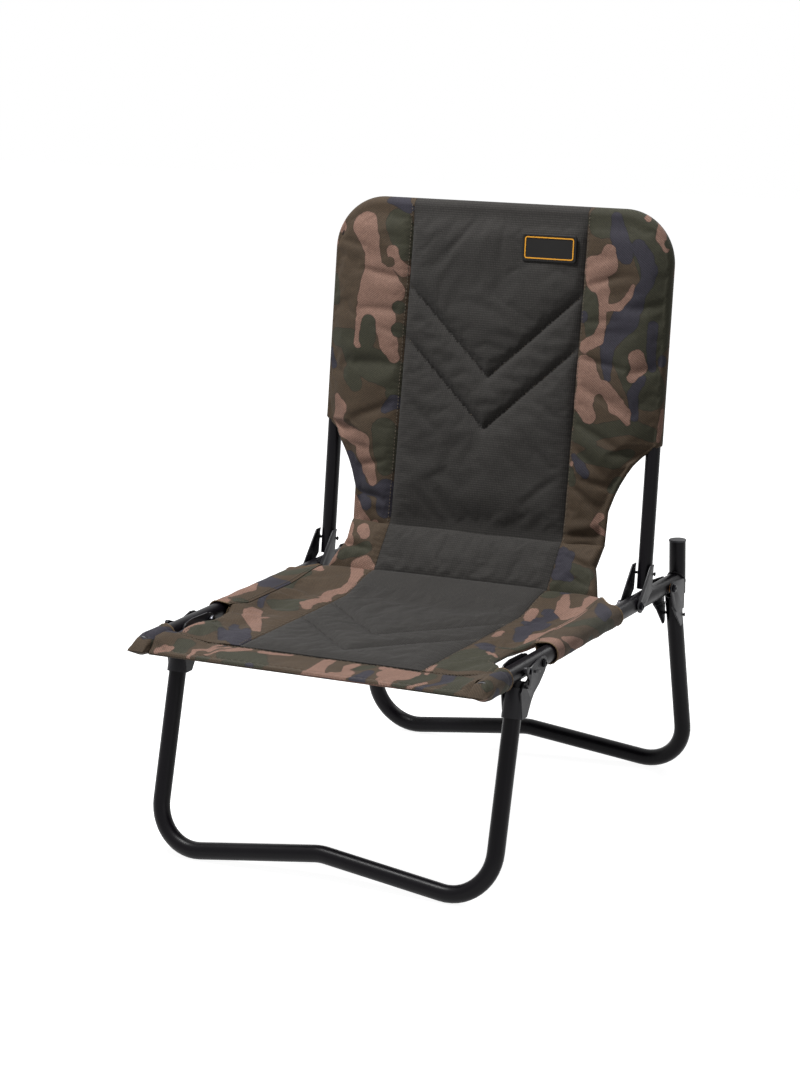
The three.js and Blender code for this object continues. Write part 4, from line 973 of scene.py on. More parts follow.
# %% [markdown]
# ## The backrest cover
# The cover is a bag pulled over the hoop from above. Its side panels wrap round the tube in a
# rolled edge, and below the side sleeves it is cut in to a waist. The pad leans further ahead of
# the hoop towards the lumbar. The middle panel is plain cloth with two sewn chevrons.

# %% The backrest cover
CENTRE, SEAM = 128.0, 0.4
COVER_R = 11.9
COVER_TOP = HOOP_TOP + COVER_R
COVER_HALF = RAIL_X + COVER_R
COVER_BEND = HOOP_BEND + COVER_R
BACK_LOW = 64.0
SLEEVE_FOOT, SLEEVE_INNER = 200.0, 168.0
WAIST = 187.0
WAIST_CURVE = (
    (0, 1), (0.1, 0.67), (0.2, 0.5), (0.29, 0.37), (0.4, 0.235), (0.51, 0.13), (0.66, 0.02), (1, 0))
THICK, PUFF, DIP = 15.0, 4.0, 4.0
EDGE = 7.0
CHEVRON_RISE = 117.0
GROWTH, PRESSURE = 0.02, 1.6
BACK_CHEVRONS = (202.0, 271.0)


def rolled(inset, radius):
    depth = clamp(radius - inset, 0, radius)
    return math.sqrt(radius * radius - depth * depth)


def cover_ahead(rise):
    share = clamp((COVER_TOP - rise) / (COVER_TOP - BACK_LOW))
    return mix(COVER_R + PUFF / 4, 30.0, share ** 1.2)


def cover_behind(rise):
    low = cover_ahead(rise) - THICK
    down = ease(-rise, -SLEEVE_FOOT, -BACK_LOW)
    base = min(low, mix(-EDGE / 2, low, down))
    return mix(base, -COVER_R, ease(rise, COVER_TOP - COVER_R * 4, COVER_TOP - COVER_R * 2))


def cover_edge(rise):
    corner = COVER_TOP - COVER_BEND
    if rise > corner:
        return COVER_HALF - COVER_BEND + math.sqrt(max(COVER_BEND ** 2 - (rise - corner) ** 2, 0))
    if rise >= SLEEVE_FOOT:
        return COVER_HALF
    return mix(WAIST, COVER_HALF, from_table(WAIST_CURVE, (SLEEVE_FOOT - rise) / (SLEEVE_FOOT - BACK_LOW)))


def cover_inset(x, rise):
    dx, dz = x - COVER_HALF + COVER_BEND, rise - COVER_TOP + COVER_BEND
    if dx > 0 and dz > 0:
        return COVER_BEND - math.hypot(dx, dz)
    return min(cover_edge(rise) - x, COVER_TOP - rise)


def cover_section(x, rise):
    """Front and rear of the cover at a place, as distances ahead of the hoop's plane."""
    inset = cover_inset(abs(x), rise)
    free = 1 - ease(rise, SLEEVE_INNER, SLEEVE_FOOT + 5)
    inner = ease(inset, COVER_R, COVER_R * 4)
    half = rolled(inset, COVER_R)
    thin = rolled(inset, EDGE) / 2
    middle = cover_ahead(rise) - PUFF - EDGE / 2
    front = mix(mix(half, middle + thin, free), cover_ahead(rise), inner)
    rear = mix(mix(-half, middle - thin, free), cover_behind(rise), inner)
    return front, rear


def seam_fade(rise):
    return 1 - ease(rise, COVER_TOP - COVER_R * 4, COVER_TOP - COVER_R)


def to_top(b):
    """Even rows up the panel, then rows that turn evenly round the top roll."""
    return run_to_roll(b, BACK_LOW + SEAM / 2, COVER_TOP, COVER_R, 0.92)


def chevron_distances(x, row, apexes):
    """Distances to the sewn Vs, whose arms rise from each apex to the panel's edges."""
    return [segment_distance(abs(x), row, (0, apex), (CENTRE, apex + CHEVRON_RISE))[0] for apex in apexes]


def back_centre_front(x, rise):
    """How far the plain panel stands above its base, with seams, chevrons and slack."""
    edge = CENTRE - abs(x)
    chevrons = chevron_distances(x, rise, BACK_CHEVRONS)
    foot = rise - BACK_LOW
    full = 1 - valley(edge)
    for d in chevrons:
        full *= 1 - valley(d)
    fade = seam_fade(rise)
    height = (full * (PUFF * ease(foot, 0, 60) + DIP) - DIP) * fade * (1 - valley(foot, 6))
    height += pucker(edge, rise, 1.0) + sum(pucker(d, abs(x) * 1.35 + i * 3, 2.0 + i)
                                              for i, d in enumerate(chevrons)) * fade
    slack = ease(badge_outside(x, rise), 0, 14)
    height += folds(x, rise, TOP_FOLDS) * fade * full * slack
    return height + rumple(x, rise, 3.0, 85, 1.6) * full * slack


BADGE_WIDE, BADGE_HIGH, BADGE_THICK, BADGE_ROUND = 78.0, 36.0, 2.6, 4.5
BADGE_X, BADGE_RISE = 79.0, COVER_TOP - 57.0


def badge_outside(x, rise):
    """How far a place is outside the patch that is sewn to the plain panel."""
    return max(abs(x - BADGE_X) - BADGE_WIDE / 2, abs(rise - BADGE_RISE) - BADGE_HIGH / 2)


TOP_FOLDS = (
    (-20, 496, -70, 430, -1.5, 6), (0, 498, -28, 420, 1.4, 7), (14, 498, 6, 425, -1.3, 6),
    (28, 497, 52, 440, -1.2, 6), (-60, 492, -105, 450, 1.1, 8), (-118, 240, -60, 190, -0.9, 7),
    (118, 150, 70, 110, -0.9, 7), (-110, 120, -60, 150, 0.8, 9), (40, 424, 4, 392, -1.0, 7),
    (48, 408, 20, 370, 0.8, 8), (-124, 400, -80, 420, -0.9, 7), (-124, 330, -84, 352, -0.8, 8),
    (122, 440, 60, 396, -0.7, 8), (-30, 76, -60, 120, -0.8, 8), (20, 72, 60, 100, 0.8, 9))


def back_side_front(x, rise, sign):
    edge = x - CENTRE
    outer = cover_inset(x, rise)
    full = (1 - valley(edge)) * ease(outer, 0, 26)
    height = (full * (DIP + 2.5) - DIP) * seam_fade(rise) * ease(outer, 0, 12)
    height *= 1 - valley(rise - BACK_LOW, 6)
    height += pucker(edge, rise, 4.0 + sign) + rumple(x, rise, 5.0 + sign, 60, 1.5) * ease(outer, 0, 22)
    return height + folds(x, rise, BACK_FOLDS[sign]) * ease(outer, 1, 14)


BACK_FOLDS = {
    -1: (
        (190, 106, 140, 96, -3.0, 5), (186, 116, 140, 108, 2.0, 8), (165, 90, 140, 76, -1.8, 5),
        (200, 170, 165, 160, -1.6, 6), (186, 84, 150, 88, 1.6, 8), (132, 392, 196, 404, -1.6, 6),
        (132, 378, 188, 384, 1.5, 9), (134, 350, 190, 352, -1.3, 6), (134, 318, 176, 330, -1.2, 5),
        (134, 282, 214, 276, -1.5, 8), (132, 262, 180, 250, 1.3, 9), (226, 300, 176, 292, 1.2, 9),
        (134, 226, 196, 204, -1.5, 7), (220, 206, 160, 226, 1.3, 10), (134, 150, 180, 140, -1.3, 6),
        (226, 440, 190, 432, -1.0, 7), (136, 470, 176, 480, -1.0, 6)),
    1: (
        (200, 137, 150, 150, -1.8, 6), (188, 80, 130, 73, -3.2, 4.5), (190, 92, 132, 86, 2.2, 7),
        (186, 112, 150, 120, -1.2, 6), (132, 398, 186, 416, -1.6, 6), (132, 412, 180, 432, 1.3, 9),
        (132, 306, 196, 296, -2.0, 5), (134, 318, 190, 312, 1.3, 8), (134, 270, 206, 240, -1.5, 7),
        (150, 282, 214, 262, 1.3, 9), (134, 222, 206, 190, -1.8, 6), (134, 206, 196, 172, 1.6, 8),
        (134, 190, 190, 150, -1.8, 6), (136, 168, 176, 140, 1.4, 7), (132, 142, 172, 116, -1.5, 6),
        (234, 380, 196, 372, -1.0, 8), (238, 300, 206, 290, -1.0, 7), (134, 352, 178, 358, -1.1, 6)),
}


def back_front(x, rise):
    """How far the front cloth is ahead of the hoop's plane, on any panel."""
    if abs(x) < CENTRE:
        return cover_section(0, rise)[0] + back_centre_front(x, rise) * ease(COVER_TOP - rise, 0, 14)
    sign, x = (1 if x > 0 else -1), abs(x)
    return cover_section(x, rise)[0] + back_side_front(x, rise, sign) * ease(cover_inset(x, rise), 0, 9)


def back_centre(a, b, rear):
    x = mix(-1, 1, a) * (CENTRE - SEAM / 2)
    rise = to_top(b)
    if rear:
        slack = rumple(x, rise, 11, 80, 1.2) * ease(COVER_TOP - rise, 0, 30)
        return at_back(x, rise, cover_section(0, rise)[1] + slack)
    return at_back(x, rise, back_front(x, rise))


def back_side(a, b, rear, sign):
    rise = to_top(b)
    edge = cover_edge(rise)
    x = run_to_roll(a, CENTRE + SEAM / 2, edge, min(COVER_R, (edge - CENTRE) / 3), 0.82)
    if rear:
        slack = rumple(x, rise, 13 + sign, 60, 1.2) * ease(cover_inset(x, rise), 0, 30)
        return at_back(sign * x, rise, cover_section(x, rise)[1] + slack)
    return at_back(sign * x, rise, back_front(sign * x, rise))


def flat_across(a, edge, sign):
    """Across a flat panel: the whole middle panel, or a side panel from its seam to its edge."""
    return mix(CENTRE, edge, a) if sign else mix(-1, 1, a) * CENTRE


def flat_back(a, b, sign):
    rise = to_top(b)
    return flat_across(a, cover_edge(rise) + (4 if rise > SLEEVE_FOOT else 0), sign), rise


def back_sewn(u, w):
    """Distance from a place of the backrest's front to what holds it: seams, chevrons, edges."""
    near = min(abs(abs(u) - CENTRE), (w - BACK_LOW) / 3, (COVER_TOP - 14 - w) / 2.5)
    if abs(u) < CENTRE:
        near = min(near, max(badge_outside(u, w), 0))
        return min(near, *chevron_distances(u, w, BACK_CHEVRONS))
    return min(near, cover_inset(abs(u), w) / 2)


bm = quilted(96, 150, back_centre, lambda a, b: flat_back(a, b, 0), back_sewn)
pad = sewn_panel(bm, "back_centre_cushion", "backrest", "back_centre_panel",
                 settle=(GROWTH * 0.45, PRESSURE * 0.5))
for side, sign in SIDES.items():
    bm = quilted(60, 150, lambda a, b, rear: back_side(a, b, rear, sign),
                 lambda a, b: flat_back(a, b, sign), back_sewn)
    pad = sewn_panel(bm, f"back_side_cushion_{side}", "backrest", f"back_side_panel_{side}",
                     BACK_RIGHT if sign > 0 else BACK_LEFT, 3.0 + sign, (GROWTH * 0.6, PRESSURE * 0.7))
print("backrest cover sewn")

# %% [markdown]
# ## The seat
# The seat hangs between the rails with a slight sag, and rises at the crease where the lumbar
# begins. Its sides are sewn into long sleeves round the rails. In front of the sleeves the pad
# is cut in, so that a hand can reach the catch of the front legs.

# %% The seat
BAND_DEPTH = 51.0
CREASE = BACK_FOOT - 63.6
CREASE_HALF = 200.0
CREASE_HEIGHT = 16.7
SEAT_CHEVRONS = (90.0, 167.0)
SLEEVE_R = 13.4
SLEEVE_FRONT, SLEEVE_REAR = 176.0, 368.0
SLEEVE_SEAM, SLEEVE_ROUND = 209.0, 110
PROFILE = ((0, -0.05), (0.13, -0.06), (0.5, -0.09), (0.8, -0.05), (1, 0.2))
PAD_EDGE = {
    1: (
        (52, 221.5), (76, 220.5), (86, 214), (94, 205), (104, 199), (118, 196.6), (162, 197), (172, 203),
        (184, 217)),
    -1: ((52, 221.5), (98, 220.5), (112, 218), (126, 215), (146, 215), (158, 217.5), (184, 219)),
}


def seat_top(along):
    level = RAIL_R * from_table(PROFILE, clamp(along / CREASE))
    return mix(level, CREASE_HEIGHT, ease(along, CREASE * 0.78, CREASE))


def sleeve_seam(along):
    """The sleeve's seam runs close to the rail at its front end, and then a little further in."""
    return mix(220.0, SLEEVE_SEAM, ease(along, SLEEVE_FRONT, SLEEVE_FRONT + 34))


def pad_edge(along, sign):
    """Free side edge of the pad: the cut-in for the hand, then just outside the sleeve's seam."""
    return mix(from_table(PAD_EDGE[sign], along), sleeve_seam(along) + 1.5,
               ease(along, SLEEVE_FRONT - 4, SLEEVE_FRONT + 12))


def corner_lift(x, along):
    """The cloth climbs towards the pockets at the front corners."""
    return 8.0 * ease(abs(x), 165, 224) * (1 - ease(along, 66, 128))


def sleeve_top(x, along):
    """The top of the cloth that runs from the pad up over the rail."""
    inset = RAIL_X + SLEEVE_R - abs(x)
    return mix(rolled(inset, SLEEVE_R), seat_top(along), ease(inset, SLEEVE_R, SLEEVE_R * 6))


def seat_section(x, along, sign):
    """Top and underside of the pad: thin at its free edge, and rising to the rail in the sleeve."""
    inset = pad_edge(along, sign) - abs(x)
    wrapped = ease(along, SLEEVE_FRONT - 8, SLEEVE_FRONT + 6)
    inner = ease(inset, 0, 60)
    puffed = mix(-PUFF / 2, PUFF, ease(along, BAND_DEPTH, 110)) * (1 - inner)
    surface = mix(seat_top(along) + puffed, sleeve_top(x, along) - 0.3, wrapped)
    thick = mix(EDGE, THICK, inner)
    close = rolled(inset, EDGE) / EDGE
    middle = surface - EDGE / 2
    corner = corner_lift(x, along)
    return mix(middle, surface, close) + corner, mix(middle, surface - thick, close) + corner


def seat_centre_front(x, along):
    edge = CENTRE - abs(x)
    chevrons = chevron_distances(x, along, SEAT_CHEVRONS)
    full = (1 - valley(edge)) * (1 - valley(along - BAND_DEPTH, 5)) * (1 - valley(CREASE - along, 5))
    for d in chevrons:
        full *= 1 - valley(d, 5)
    height = full * PUFF - PUFF / 2 - 1.3 * max(valley(d, 4) for d in chevrons) * ease(edge, 0, 16)
    height += sum(pucker(d, abs(x) * 1.35, 22.0 + i) for i, d in enumerate(chevrons))
    height += pucker(edge, along, 21.0)
    return height + rumple(x, along, 23.0, 85, 0.9) * full


def seat_rear(x):
    return CREASE - SEAM / 2 - ease(abs(x), CREASE_HALF, RAIL_X) * (CREASE - SLEEVE_REAR)


SEAT_FOLDS = {
    -1: ((205, 210, 150, 190, -1.4, 8), (200, 300, 150, 290, 1.2, 12), (206, 345, 150, 380, -1.6, 7)),
    1: ((205, 205, 150, 170, -1.4, 8), (205, 280, 160, 300, 1.2, 12), (206, 350, 150, 375, -1.6, 7)),
}


def seat_front(x, along):
    """How high the top cloth is over the rails' axes, on any panel."""
    if abs(x) < CENTRE:
        return seat_top(along) + seat_centre_front(x, along)
    sign, x = (1 if x > 0 else -1), abs(x)
    inset, seam = pad_edge(along, sign) - x, x - CENTRE
    full = (1 - valley(seam)) * (1 - valley(along - BAND_DEPTH, 4)) * (1 - valley(CREASE - along, 5))
    height = (full - 1) * DIP / 2 + pucker(seam, along, 35.0 + sign)
    slack = rumple(x, along, 37.0 + sign, 55, 1.3) + folds(x, along, SEAT_FOLDS[sign])
    height += slack * ease(inset, 0, 20)
    return seat_section(x, along, sign)[0] + height * ease(inset, 0, 6)


def seat_centre(a, b, under):
    x = mix(-1, 1, a) * (CENTRE - SEAM / 2)
    along = mix(BAND_DEPTH + SEAM / 2, CREASE - SEAM / 2, b)
    if under:
        return at_rail(x, along, seat_top(along) - THICK + rumple(x, along, 31, 80, 1.0))
    return at_rail(x, along, seat_front(x, along))


def drawn_forward(x, share):
    """How far the cloth near the rails is drawn forward of the crease's line."""
    return (CREASE - SEAM / 2 - seat_rear(x)) * share


def seat_side(a, b, under, sign):
    along = mix(BAND_DEPTH + SEAM / 2, CREASE - SEAM / 2, b)
    edge = pad_edge(along, sign)
    x = run_to_roll(a, CENTRE + SEAM / 2, edge, EDGE, 0.85)
    placed = along - drawn_forward(x, ease(b, 0.5, 1))
    if under:
        slack = rumple(x, along, 33 + sign, 60, 0.9) * ease(edge - x, 0, 20)
        return at_rail(sign * x, placed, seat_section(x, along, sign)[1] + slack)
    return at_rail(sign * x, placed, seat_front(sign * x, along))


def flat_seat(a, b, sign):
    along = mix(BAND_DEPTH, CREASE, b)
    return flat_across(a, pad_edge(along, sign or 1), sign), along


def seat_sewn(u, w, sign=1):
    near = min(abs(abs(u) - CENTRE), w - BAND_DEPTH, (CREASE - w) / 12)
    if abs(u) < CENTRE:
        return min(near, *chevron_distances(u, w, SEAT_CHEVRONS))
    return min(near, (pad_edge(w, sign) - abs(u)) / 2)


bm = quilted(96, 120, seat_centre, lambda a, b: flat_seat(a, b, 0), seat_sewn)
pad = sewn_panel(bm, "seat_centre_cushion", "seat_frame", "seat_centre_panel",
                 settle=(GROWTH / 2, PRESSURE / 2))
for side, sign in SIDES.items():
    bm = quilted(44, 130, lambda a, b, under: seat_side(a, b, under, sign),
                 lambda a, b: flat_seat(a, b, sign), lambda u, w: seat_sewn(u, w, sign))
    pad = sewn_panel(bm, f"seat_side_cushion_{side}", "seat_frame", f"seat_side_panel_{side}",
                     SEAT_RIGHT if sign > 0 else SEAT_LEFT, 13.0 + sign, (GROWTH / 2, PRESSURE / 2))
print("seat sewn")

# %% [markdown]
# ## Sleeves round the rails
# A sleeve is one strip of the printed cloth, laid over the rail and sewn down to the pad along
# its inner edge. It is a single thickness of cloth, so it is a bent grid made solid inwards. Its
# ends stay open, and the tube can be seen going in.

# %% Sleeves round the rails
def sleeve_place(a, b, sign):
    """A drop shape: a runs from the top seam over the rail, round it, and back to the same seam."""
    lead, turn, wrap = 0.22, 0.8, math.radians(221)
    along = mix(SLEEVE_FRONT, CREASE, b)
    seam_x = sleeve_seam(along) - 2
    seam_up = sleeve_top(seam_x, along)
    if a < lead:
        x = mix(seam_x, RAIL_X, a / lead)
        up = sleeve_top(x, along) + 0.35 * (1 - a / lead)
    else:
        angle = clamp((a - lead) / (turn - lead)) * wrap
        x, up = RAIL_X + SLEEVE_R * math.sin(angle), SLEEVE_R * math.cos(angle)
        if a > turn:
            back = (a - turn) / (1 - turn)
            x, up = mix(x, seam_x, back), mix(up, seam_up - 2.2, back)
    placed = along - drawn_forward(x, ease(b, 0.3, 1))
    ripple = rumple(x + up, along, 41.0 + sign, 28, 1.1) * (clamp(a / lead) if a < turn else 0.6)
    outwards = Vector((x - RAIL_X + 4, 0, up)).normalized() * ripple * 0.8
    return at_rail(sign * (x + outwards.x), placed, up + outwards.z)


for side, sign in SIDES.items():
    bm = single_cloth(56, 70, lambda a, b: sleeve_place(a, b, sign),
                      lambda a, b: (SLEEVE_SEAM - 3 + a * SLEEVE_ROUND, mix(SLEEVE_FRONT, SLEEVE_REAR, b)),
                      Vector((sign, 0, 0)))
    sewn_panel(bm, f"rail_sleeve_{side}", "seat_frame", f"seat_side_panel_{side}",
               SLEEVE_RIGHT if sign > 0 else SLEEVE_LEFT, 17.0 + sign)
print("rail sleeves sewn")

# %% [markdown]
# ## The lumbar
# Between the seat's crease and the backrest pad runs a short hinge of quilted cloth, sewn to both parts. Here
# it rides on neither part's body: it is laid once where the open chair holds it.

# %% The lumbar
LUMBAR_FLARE = ((0, 1), (0.3, 0.4), (0.6, -0.2), (1, 0))
lean_sin, lean_cos = math.sin(RECLINE), math.cos(RECLINE)
lumbar_foot = (CREASE, CREASE_HEIGHT - PUFF / 2)
lumbar_head = (BACK_FOOT + BACK_LOW * lean_sin - 30 * lean_cos, BACK_LOW * lean_cos + 30 * lean_sin)
lumbar_long = math.hypot(lumbar_head[0] - lumbar_foot[0], lumbar_head[1] - lumbar_foot[1])
lumbar_way = ((lumbar_head[0] - lumbar_foot[0]) / lumbar_long, (lumbar_head[1] - lumbar_foot[1]) / lumbar_long)


def at_lumbar(x, run, deep):
    return at_rail(x, lumbar_foot[0] + lumbar_way[0] * run + lumbar_way[1] * deep,
                   lumbar_foot[1] + lumbar_way[1] * run - lumbar_way[0] * deep)


TUCK, LUMBAR_HALF = 1.3, WAIST + 6
LUMBAR_FOLDS = {
    -1: ((195, 33, 140, 27, -2.6, 4.5), (192, 44, 145, 40, 1.8, 6)),
    1: ((190, 32, 140, 50, -2.2, 4.5), (190, 8, 150, 22, -1.6, 4), (188, 44, 160, 52, 1.4, 6)),
    0: ((-100, 20, 90, 16, -0.9, 7), (-90, 38, 100, 42, -0.6, 8)),
}


def lumbar(a, b, rear, sign):
    run = mix(-TUCK, lumbar_long + TUCK, b)
    outer = mix(WAIST, CREASE_HALF, from_table(LUMBAR_FLARE, run / lumbar_long))
    if sign == 0:
        x = mix(-1, 1, a) * (CENTRE - SEAM / 2)
        edge, rim = CENTRE - abs(x), EDGE
    else:
        x = run_to_roll(a, CENTRE + SEAM / 2, outer, EDGE, 0.86)
        edge, rim = x - CENTRE, outer - x
    full = (1 - valley(edge)) * (1 - valley(run, 5)) * (1 - valley(lumbar_long - run, 5))
    puffed = full * (PUFF / 2 + 2.0) + rumple(x, run, 51.0 + sign, 50, 0.9) * full
    puffed += folds(x if sign else 0, run, LUMBAR_FOLDS[sign]) * full + pucker(edge, run, 53.0 + sign)
    close = rolled(rim, EDGE) / EDGE
    middle = (THICK - PUFF) / 2
    if rear:
        deep = mix(middle, THICK - PUFF, close)
    else:
        deep = mix(middle, -puffed, close) + max(-run, run - lumbar_long, 0) / TUCK
    mitred = run + max(deep, 0) * (0.72 * ease(b, 0.6, 1) - 0.5 * (1 - ease(b, 0, 0.4)))
    return at_lumbar((sign or 1) * x, mitred, deep)


for side, sign, node, strokes in (("centre", 0, "lumbar_centre_panel", None),
                                  ("right", 1, "lumbar_side_panel_right", LUMBAR_RIGHT),
                                  ("left", -1, "lumbar_side_panel_left", LUMBAR_LEFT)):
    bm = quilted(36 if sign else 90, 30, lambda a, b, rear: lumbar(a, b, rear, sign),
                 lambda a, b: (flat_across(a, LUMBAR_HALF, sign), b * lumbar_long),
                 lambda u, w: min(w, lumbar_long - w, abs(abs(u) - CENTRE), (LUMBAR_HALF - abs(u)) / 2))
    pad = sewn_panel(bm, f"lumbar_{side}_cushion", None, node, strokes, 23.0 + sign, (GROWTH, PRESSURE))
    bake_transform(pad)
print("lumbar", round(lumbar_long, 1), "mm high")

# %% [markdown]
# ## Front band and corner pockets
# The seat's front edge is a wide turned-over band with a stitched hem. At each end a pocket is
# pulled over the end of the rail and pinched shut, which is what holds the seat forward.

# %% Front band
POCKET_R, POCKET_ROUND = 13.4, 84
POCKET_REAR, POCKET_TIP = 52.0, 10.0
PINCH = -20
POCKET_HIGH = ((PINCH, 0.08), (-16, 0.28), (-10, 0.55), (-3, 0.8), (8, 0.97), (20, 1), (52, 1))
POCKET_WIDE = ((PINCH, 0.8), (-16, 0.92), (-10, 0.98), (-3, 1), (52, 1))
SHOULDER = 9.8
HEM_DROP, HEM_THICK = 5.0, 5.0
HEM_WIDE, BAND_HALF = 11.0, 223
BAND_FOLDS = (
    (-175, 48, -140, -2, -1.6, 5), (-160, 46, -128, 10, 1.2, 6), (190, 44, 150, 6, -1.4, 6),
    (60, 44, 40, 8, -0.7, 9), (-30, 40, -60, 6, -0.7, 9))


def band(a, b, under):
    """The band's ends climb onto the shoulders of the pockets, which they are sewn to."""
    half = RAIL_X - mix(POCKET_R - 0.6, SHOULDER, ease(b, 0.25, 0.4))
    x = mix(-1, 1, a) * half
    along = mix(-POCKET_TIP, BAND_DEPTH - SEAM / 2, b)
    level = mix(-HEM_DROP, seat_top(BAND_DEPTH) - PUFF / 2, b)
    level += corner_lift(x, along) * ease(b, 0.05, 0.6)
    shoulder = math.sqrt(POCKET_R ** 2 - SHOULDER ** 2) * from_table(POCKET_HIGH, along)
    climb = ease(abs(x), 200, half) * ease(b, 0.02, 0.32) * (1 - 0.6 * ease(b, 0.75, 1))
    hem = along + POCKET_TIP
    if hem < HEM_THICK / 2:
        thick = HEM_THICK * math.sqrt(clamp(1 - (1 - hem / (HEM_THICK / 2)) ** 2, 0.02, 1))
    else:
        thick = mix(HEM_THICK, 4.0, ease(hem, HEM_WIDE - 2, HEM_WIDE + 1))
    thick = mix(thick, 5.0, ease(b, 0.7, 1))
    if under:
        return at_rail(x, along, mix(level - HEM_THICK / 2 - thick / 2, shoulder - 2.5, climb))
    wave = (rumple(x, along, 61, 45, 1.2) + folds(x, along, BAND_FOLDS)) * ease(hem, 2, 14)
    ripple = pucker(hem - HEM_WIDE, x, 63.0) - 1.2 * valley(hem - HEM_WIDE, 1.6) * ease(hem, 4, 8)
    seam = pucker(BAND_DEPTH - along, x, 64.0) - 1.6 * valley(BAND_DEPTH - along, 3)
    return at_rail(x, along, mix(level - HEM_THICK / 2 + thick / 2, shoulder, climb) + wave + ripple + seam)


bm = quilted(200, 36, band, lambda a, b: (mix(-1, 1, a) * BAND_HALF, mix(-POCKET_TIP, BAND_DEPTH, b)))
pad = sewn_panel(bm, "front_band_cloth", "seat_frame", "seat_front_band", BAND, 29.0)

# %% [markdown]
# ## The corner pockets
# Each pocket is a short sleeve round the end of the rail. It is flattened to a pinched tip, and
# small gathers run back from the pinch.

# %% Corner pockets
POCKET_PRINT = {
    1: {
        "tan": ((34, -14, 6, 26, -18, 5), (-30, 4, 7)),
        "navy": ((4, 22, 8, 12, 36, 9, 18, 44, 8), (26, 6, 7, 34, 12, 6)),
        "green": ((-8, 40, 10, 0, 48, 9), (30, 34, 11, 40, 22, 10), (8, -4, 8)),
    },
    -1: {
        "tan": ((-24, 46, 6, -16, 40, 4), (30, -16, 6)),
        "navy": ((-2, 4, 10, -10, 18, 14, -16, 36, 13), (6, 30, 9)),
        "green": ((-26, 16, 10, -20, 2, 8), (14, 30, 10, 8, 46, 8)),
    },
}


def pocket_place(a, b, sign):
    """Round the rail's end: a is the turn, and b runs from the pinched tip to the open rear."""
    along = mix(PINCH, POCKET_REAR, 1 - (1 - b) ** 1.15)
    high, wide = from_table(POCKET_HIGH, along), from_table(POCKET_WIDE, along)
    angle = a * 2 * math.pi
    across, up = math.sin(angle), math.cos(angle)
    hang = 1.1 if up < 0 else 1.0
    gathers = 0.9 * math.sin(angle * 5 + 0.8 * math.sin(along / 6)) * (1 - ease(along, -14, 22))
    slack = rumple(angle * 9, along, 71 + sign, 24, 1.0) * ease(along, -14, 0)
    hem = -0.9 * valley(POCKET_REAR - 8 - along, 1.6)
    radius = POCKET_R + gathers + slack + hem
    drop = -HEM_DROP * (1 - high)
    return at_rail(sign * (RAIL_X + across * radius * wide), along, up * radius * high * hang + drop)


for side, sign in SIDES.items():
    bm = single_cloth(48, 40, lambda a, b: pocket_place(a, b, sign),
                      lambda a, b: ((a if a < 0.5 else a - 1) * POCKET_ROUND, mix(PINCH, POCKET_REAR, b)),
                      Vector((0, 0, 1)), closed_below=(FRONT + PINCH + 2) * MM)
    sewn_panel(bm, f"pocket_{side}", "seat_frame", f"corner_pocket_{side}", POCKET_PRINT[sign], 33.0 + sign)
print("band and pockets sewn")

# %% [markdown]
# ## Stitches
# The seams are topstitched with a thick brown thread. Each stitch is a tiny grain of thread that
# dips into the cloth at both ends, so it is a long drop, half sunk, laid every few millimetres
# along its sewn line. There are many, so each has only a few faces.

# %% Stitches
STITCH_PITCH, STITCH_LONG, STITCH_THICK = 4.6, 3.3, 0.62
SEAM_OUT, THREAD_LIFT = 2.6, 0.3
BACK_RUN, SEAT_RUN, CHEVRON_RUN, SLEEVE_RUN, CUT_IN_RUN = 430, 342, 172, 195, 118


def stitch_line(bm, place, length):
    """Stitches along place(t), t from 0 to 1, over a line of about this length in mm."""
    count = int(length / STITCH_PITCH)
    for i in range(count):
        t = (i + 0.5) / count
        here, ahead = place(t), place(min(t + 0.5 / count, 1))
        way = (ahead - here).normalized()
        turn = way.to_track_quat("X", "Z").to_matrix().to_4x4()
        size = Matrix.Diagonal((STITCH_LONG / 2 * MM, STITCH_THICK * MM, STITCH_THICK * MM, 1))
        bmesh.ops.create_icosphere(bm, subdivisions=1, radius=1,
                                   matrix=Matrix.Translation(here) @ turn @ size)


def on_back(x, rise):
    return at_back(x, rise, back_front(x, rise) + THREAD_LIFT)


def on_seat(x, along):
    return at_rail(x, along, seat_front(x, along) + THREAD_LIFT)


def on_chevron(surface, sign, apex, t):
    x = mix(2, CENTRE - 3, t)
    return surface(sign * x, apex + CHEVRON_RISE * x / CENTRE)


def on_hem(b, lift, t):
    return band(mix(0.03, 0.97, t), b, False) + Vector((0, 0, lift * MM))


back_thread, seat_thread = bmesh.new(), bmesh.new()
for sign in SIDES.values():
    edge = sign * (CENTRE + SEAM_OUT)
    stitch_line(back_thread, lambda t: on_back(edge, mix(BACK_LOW + 3, COVER_TOP - 8, t)), BACK_RUN)
    stitch_line(seat_thread, lambda t: on_seat(edge, mix(BAND_DEPTH + 3, CREASE - 3, t)), SEAT_RUN)
    for apex in BACK_CHEVRONS:
        stitch_line(back_thread, lambda t: on_chevron(on_back, sign, apex, t), CHEVRON_RUN)
    for apex in SEAT_CHEVRONS:
        stitch_line(seat_thread, lambda t: on_chevron(on_seat, sign, apex, t), CHEVRON_RUN)
    stitch_line(seat_thread, lambda t: sleeve_place(0.035, mix(0.02, 0.9, t), sign) + Vector((0, 0, 0.4 * MM)),
                SLEEVE_RUN)
    stitch_line(seat_thread, lambda t: on_seat(sign * (pad_edge(mix(56, 172, t), sign) - 8), mix(56, 172, t)),
                CUT_IN_RUN)
finished(back_thread, "backrest_stitches", seam_thread, "backrest", tidy=False)

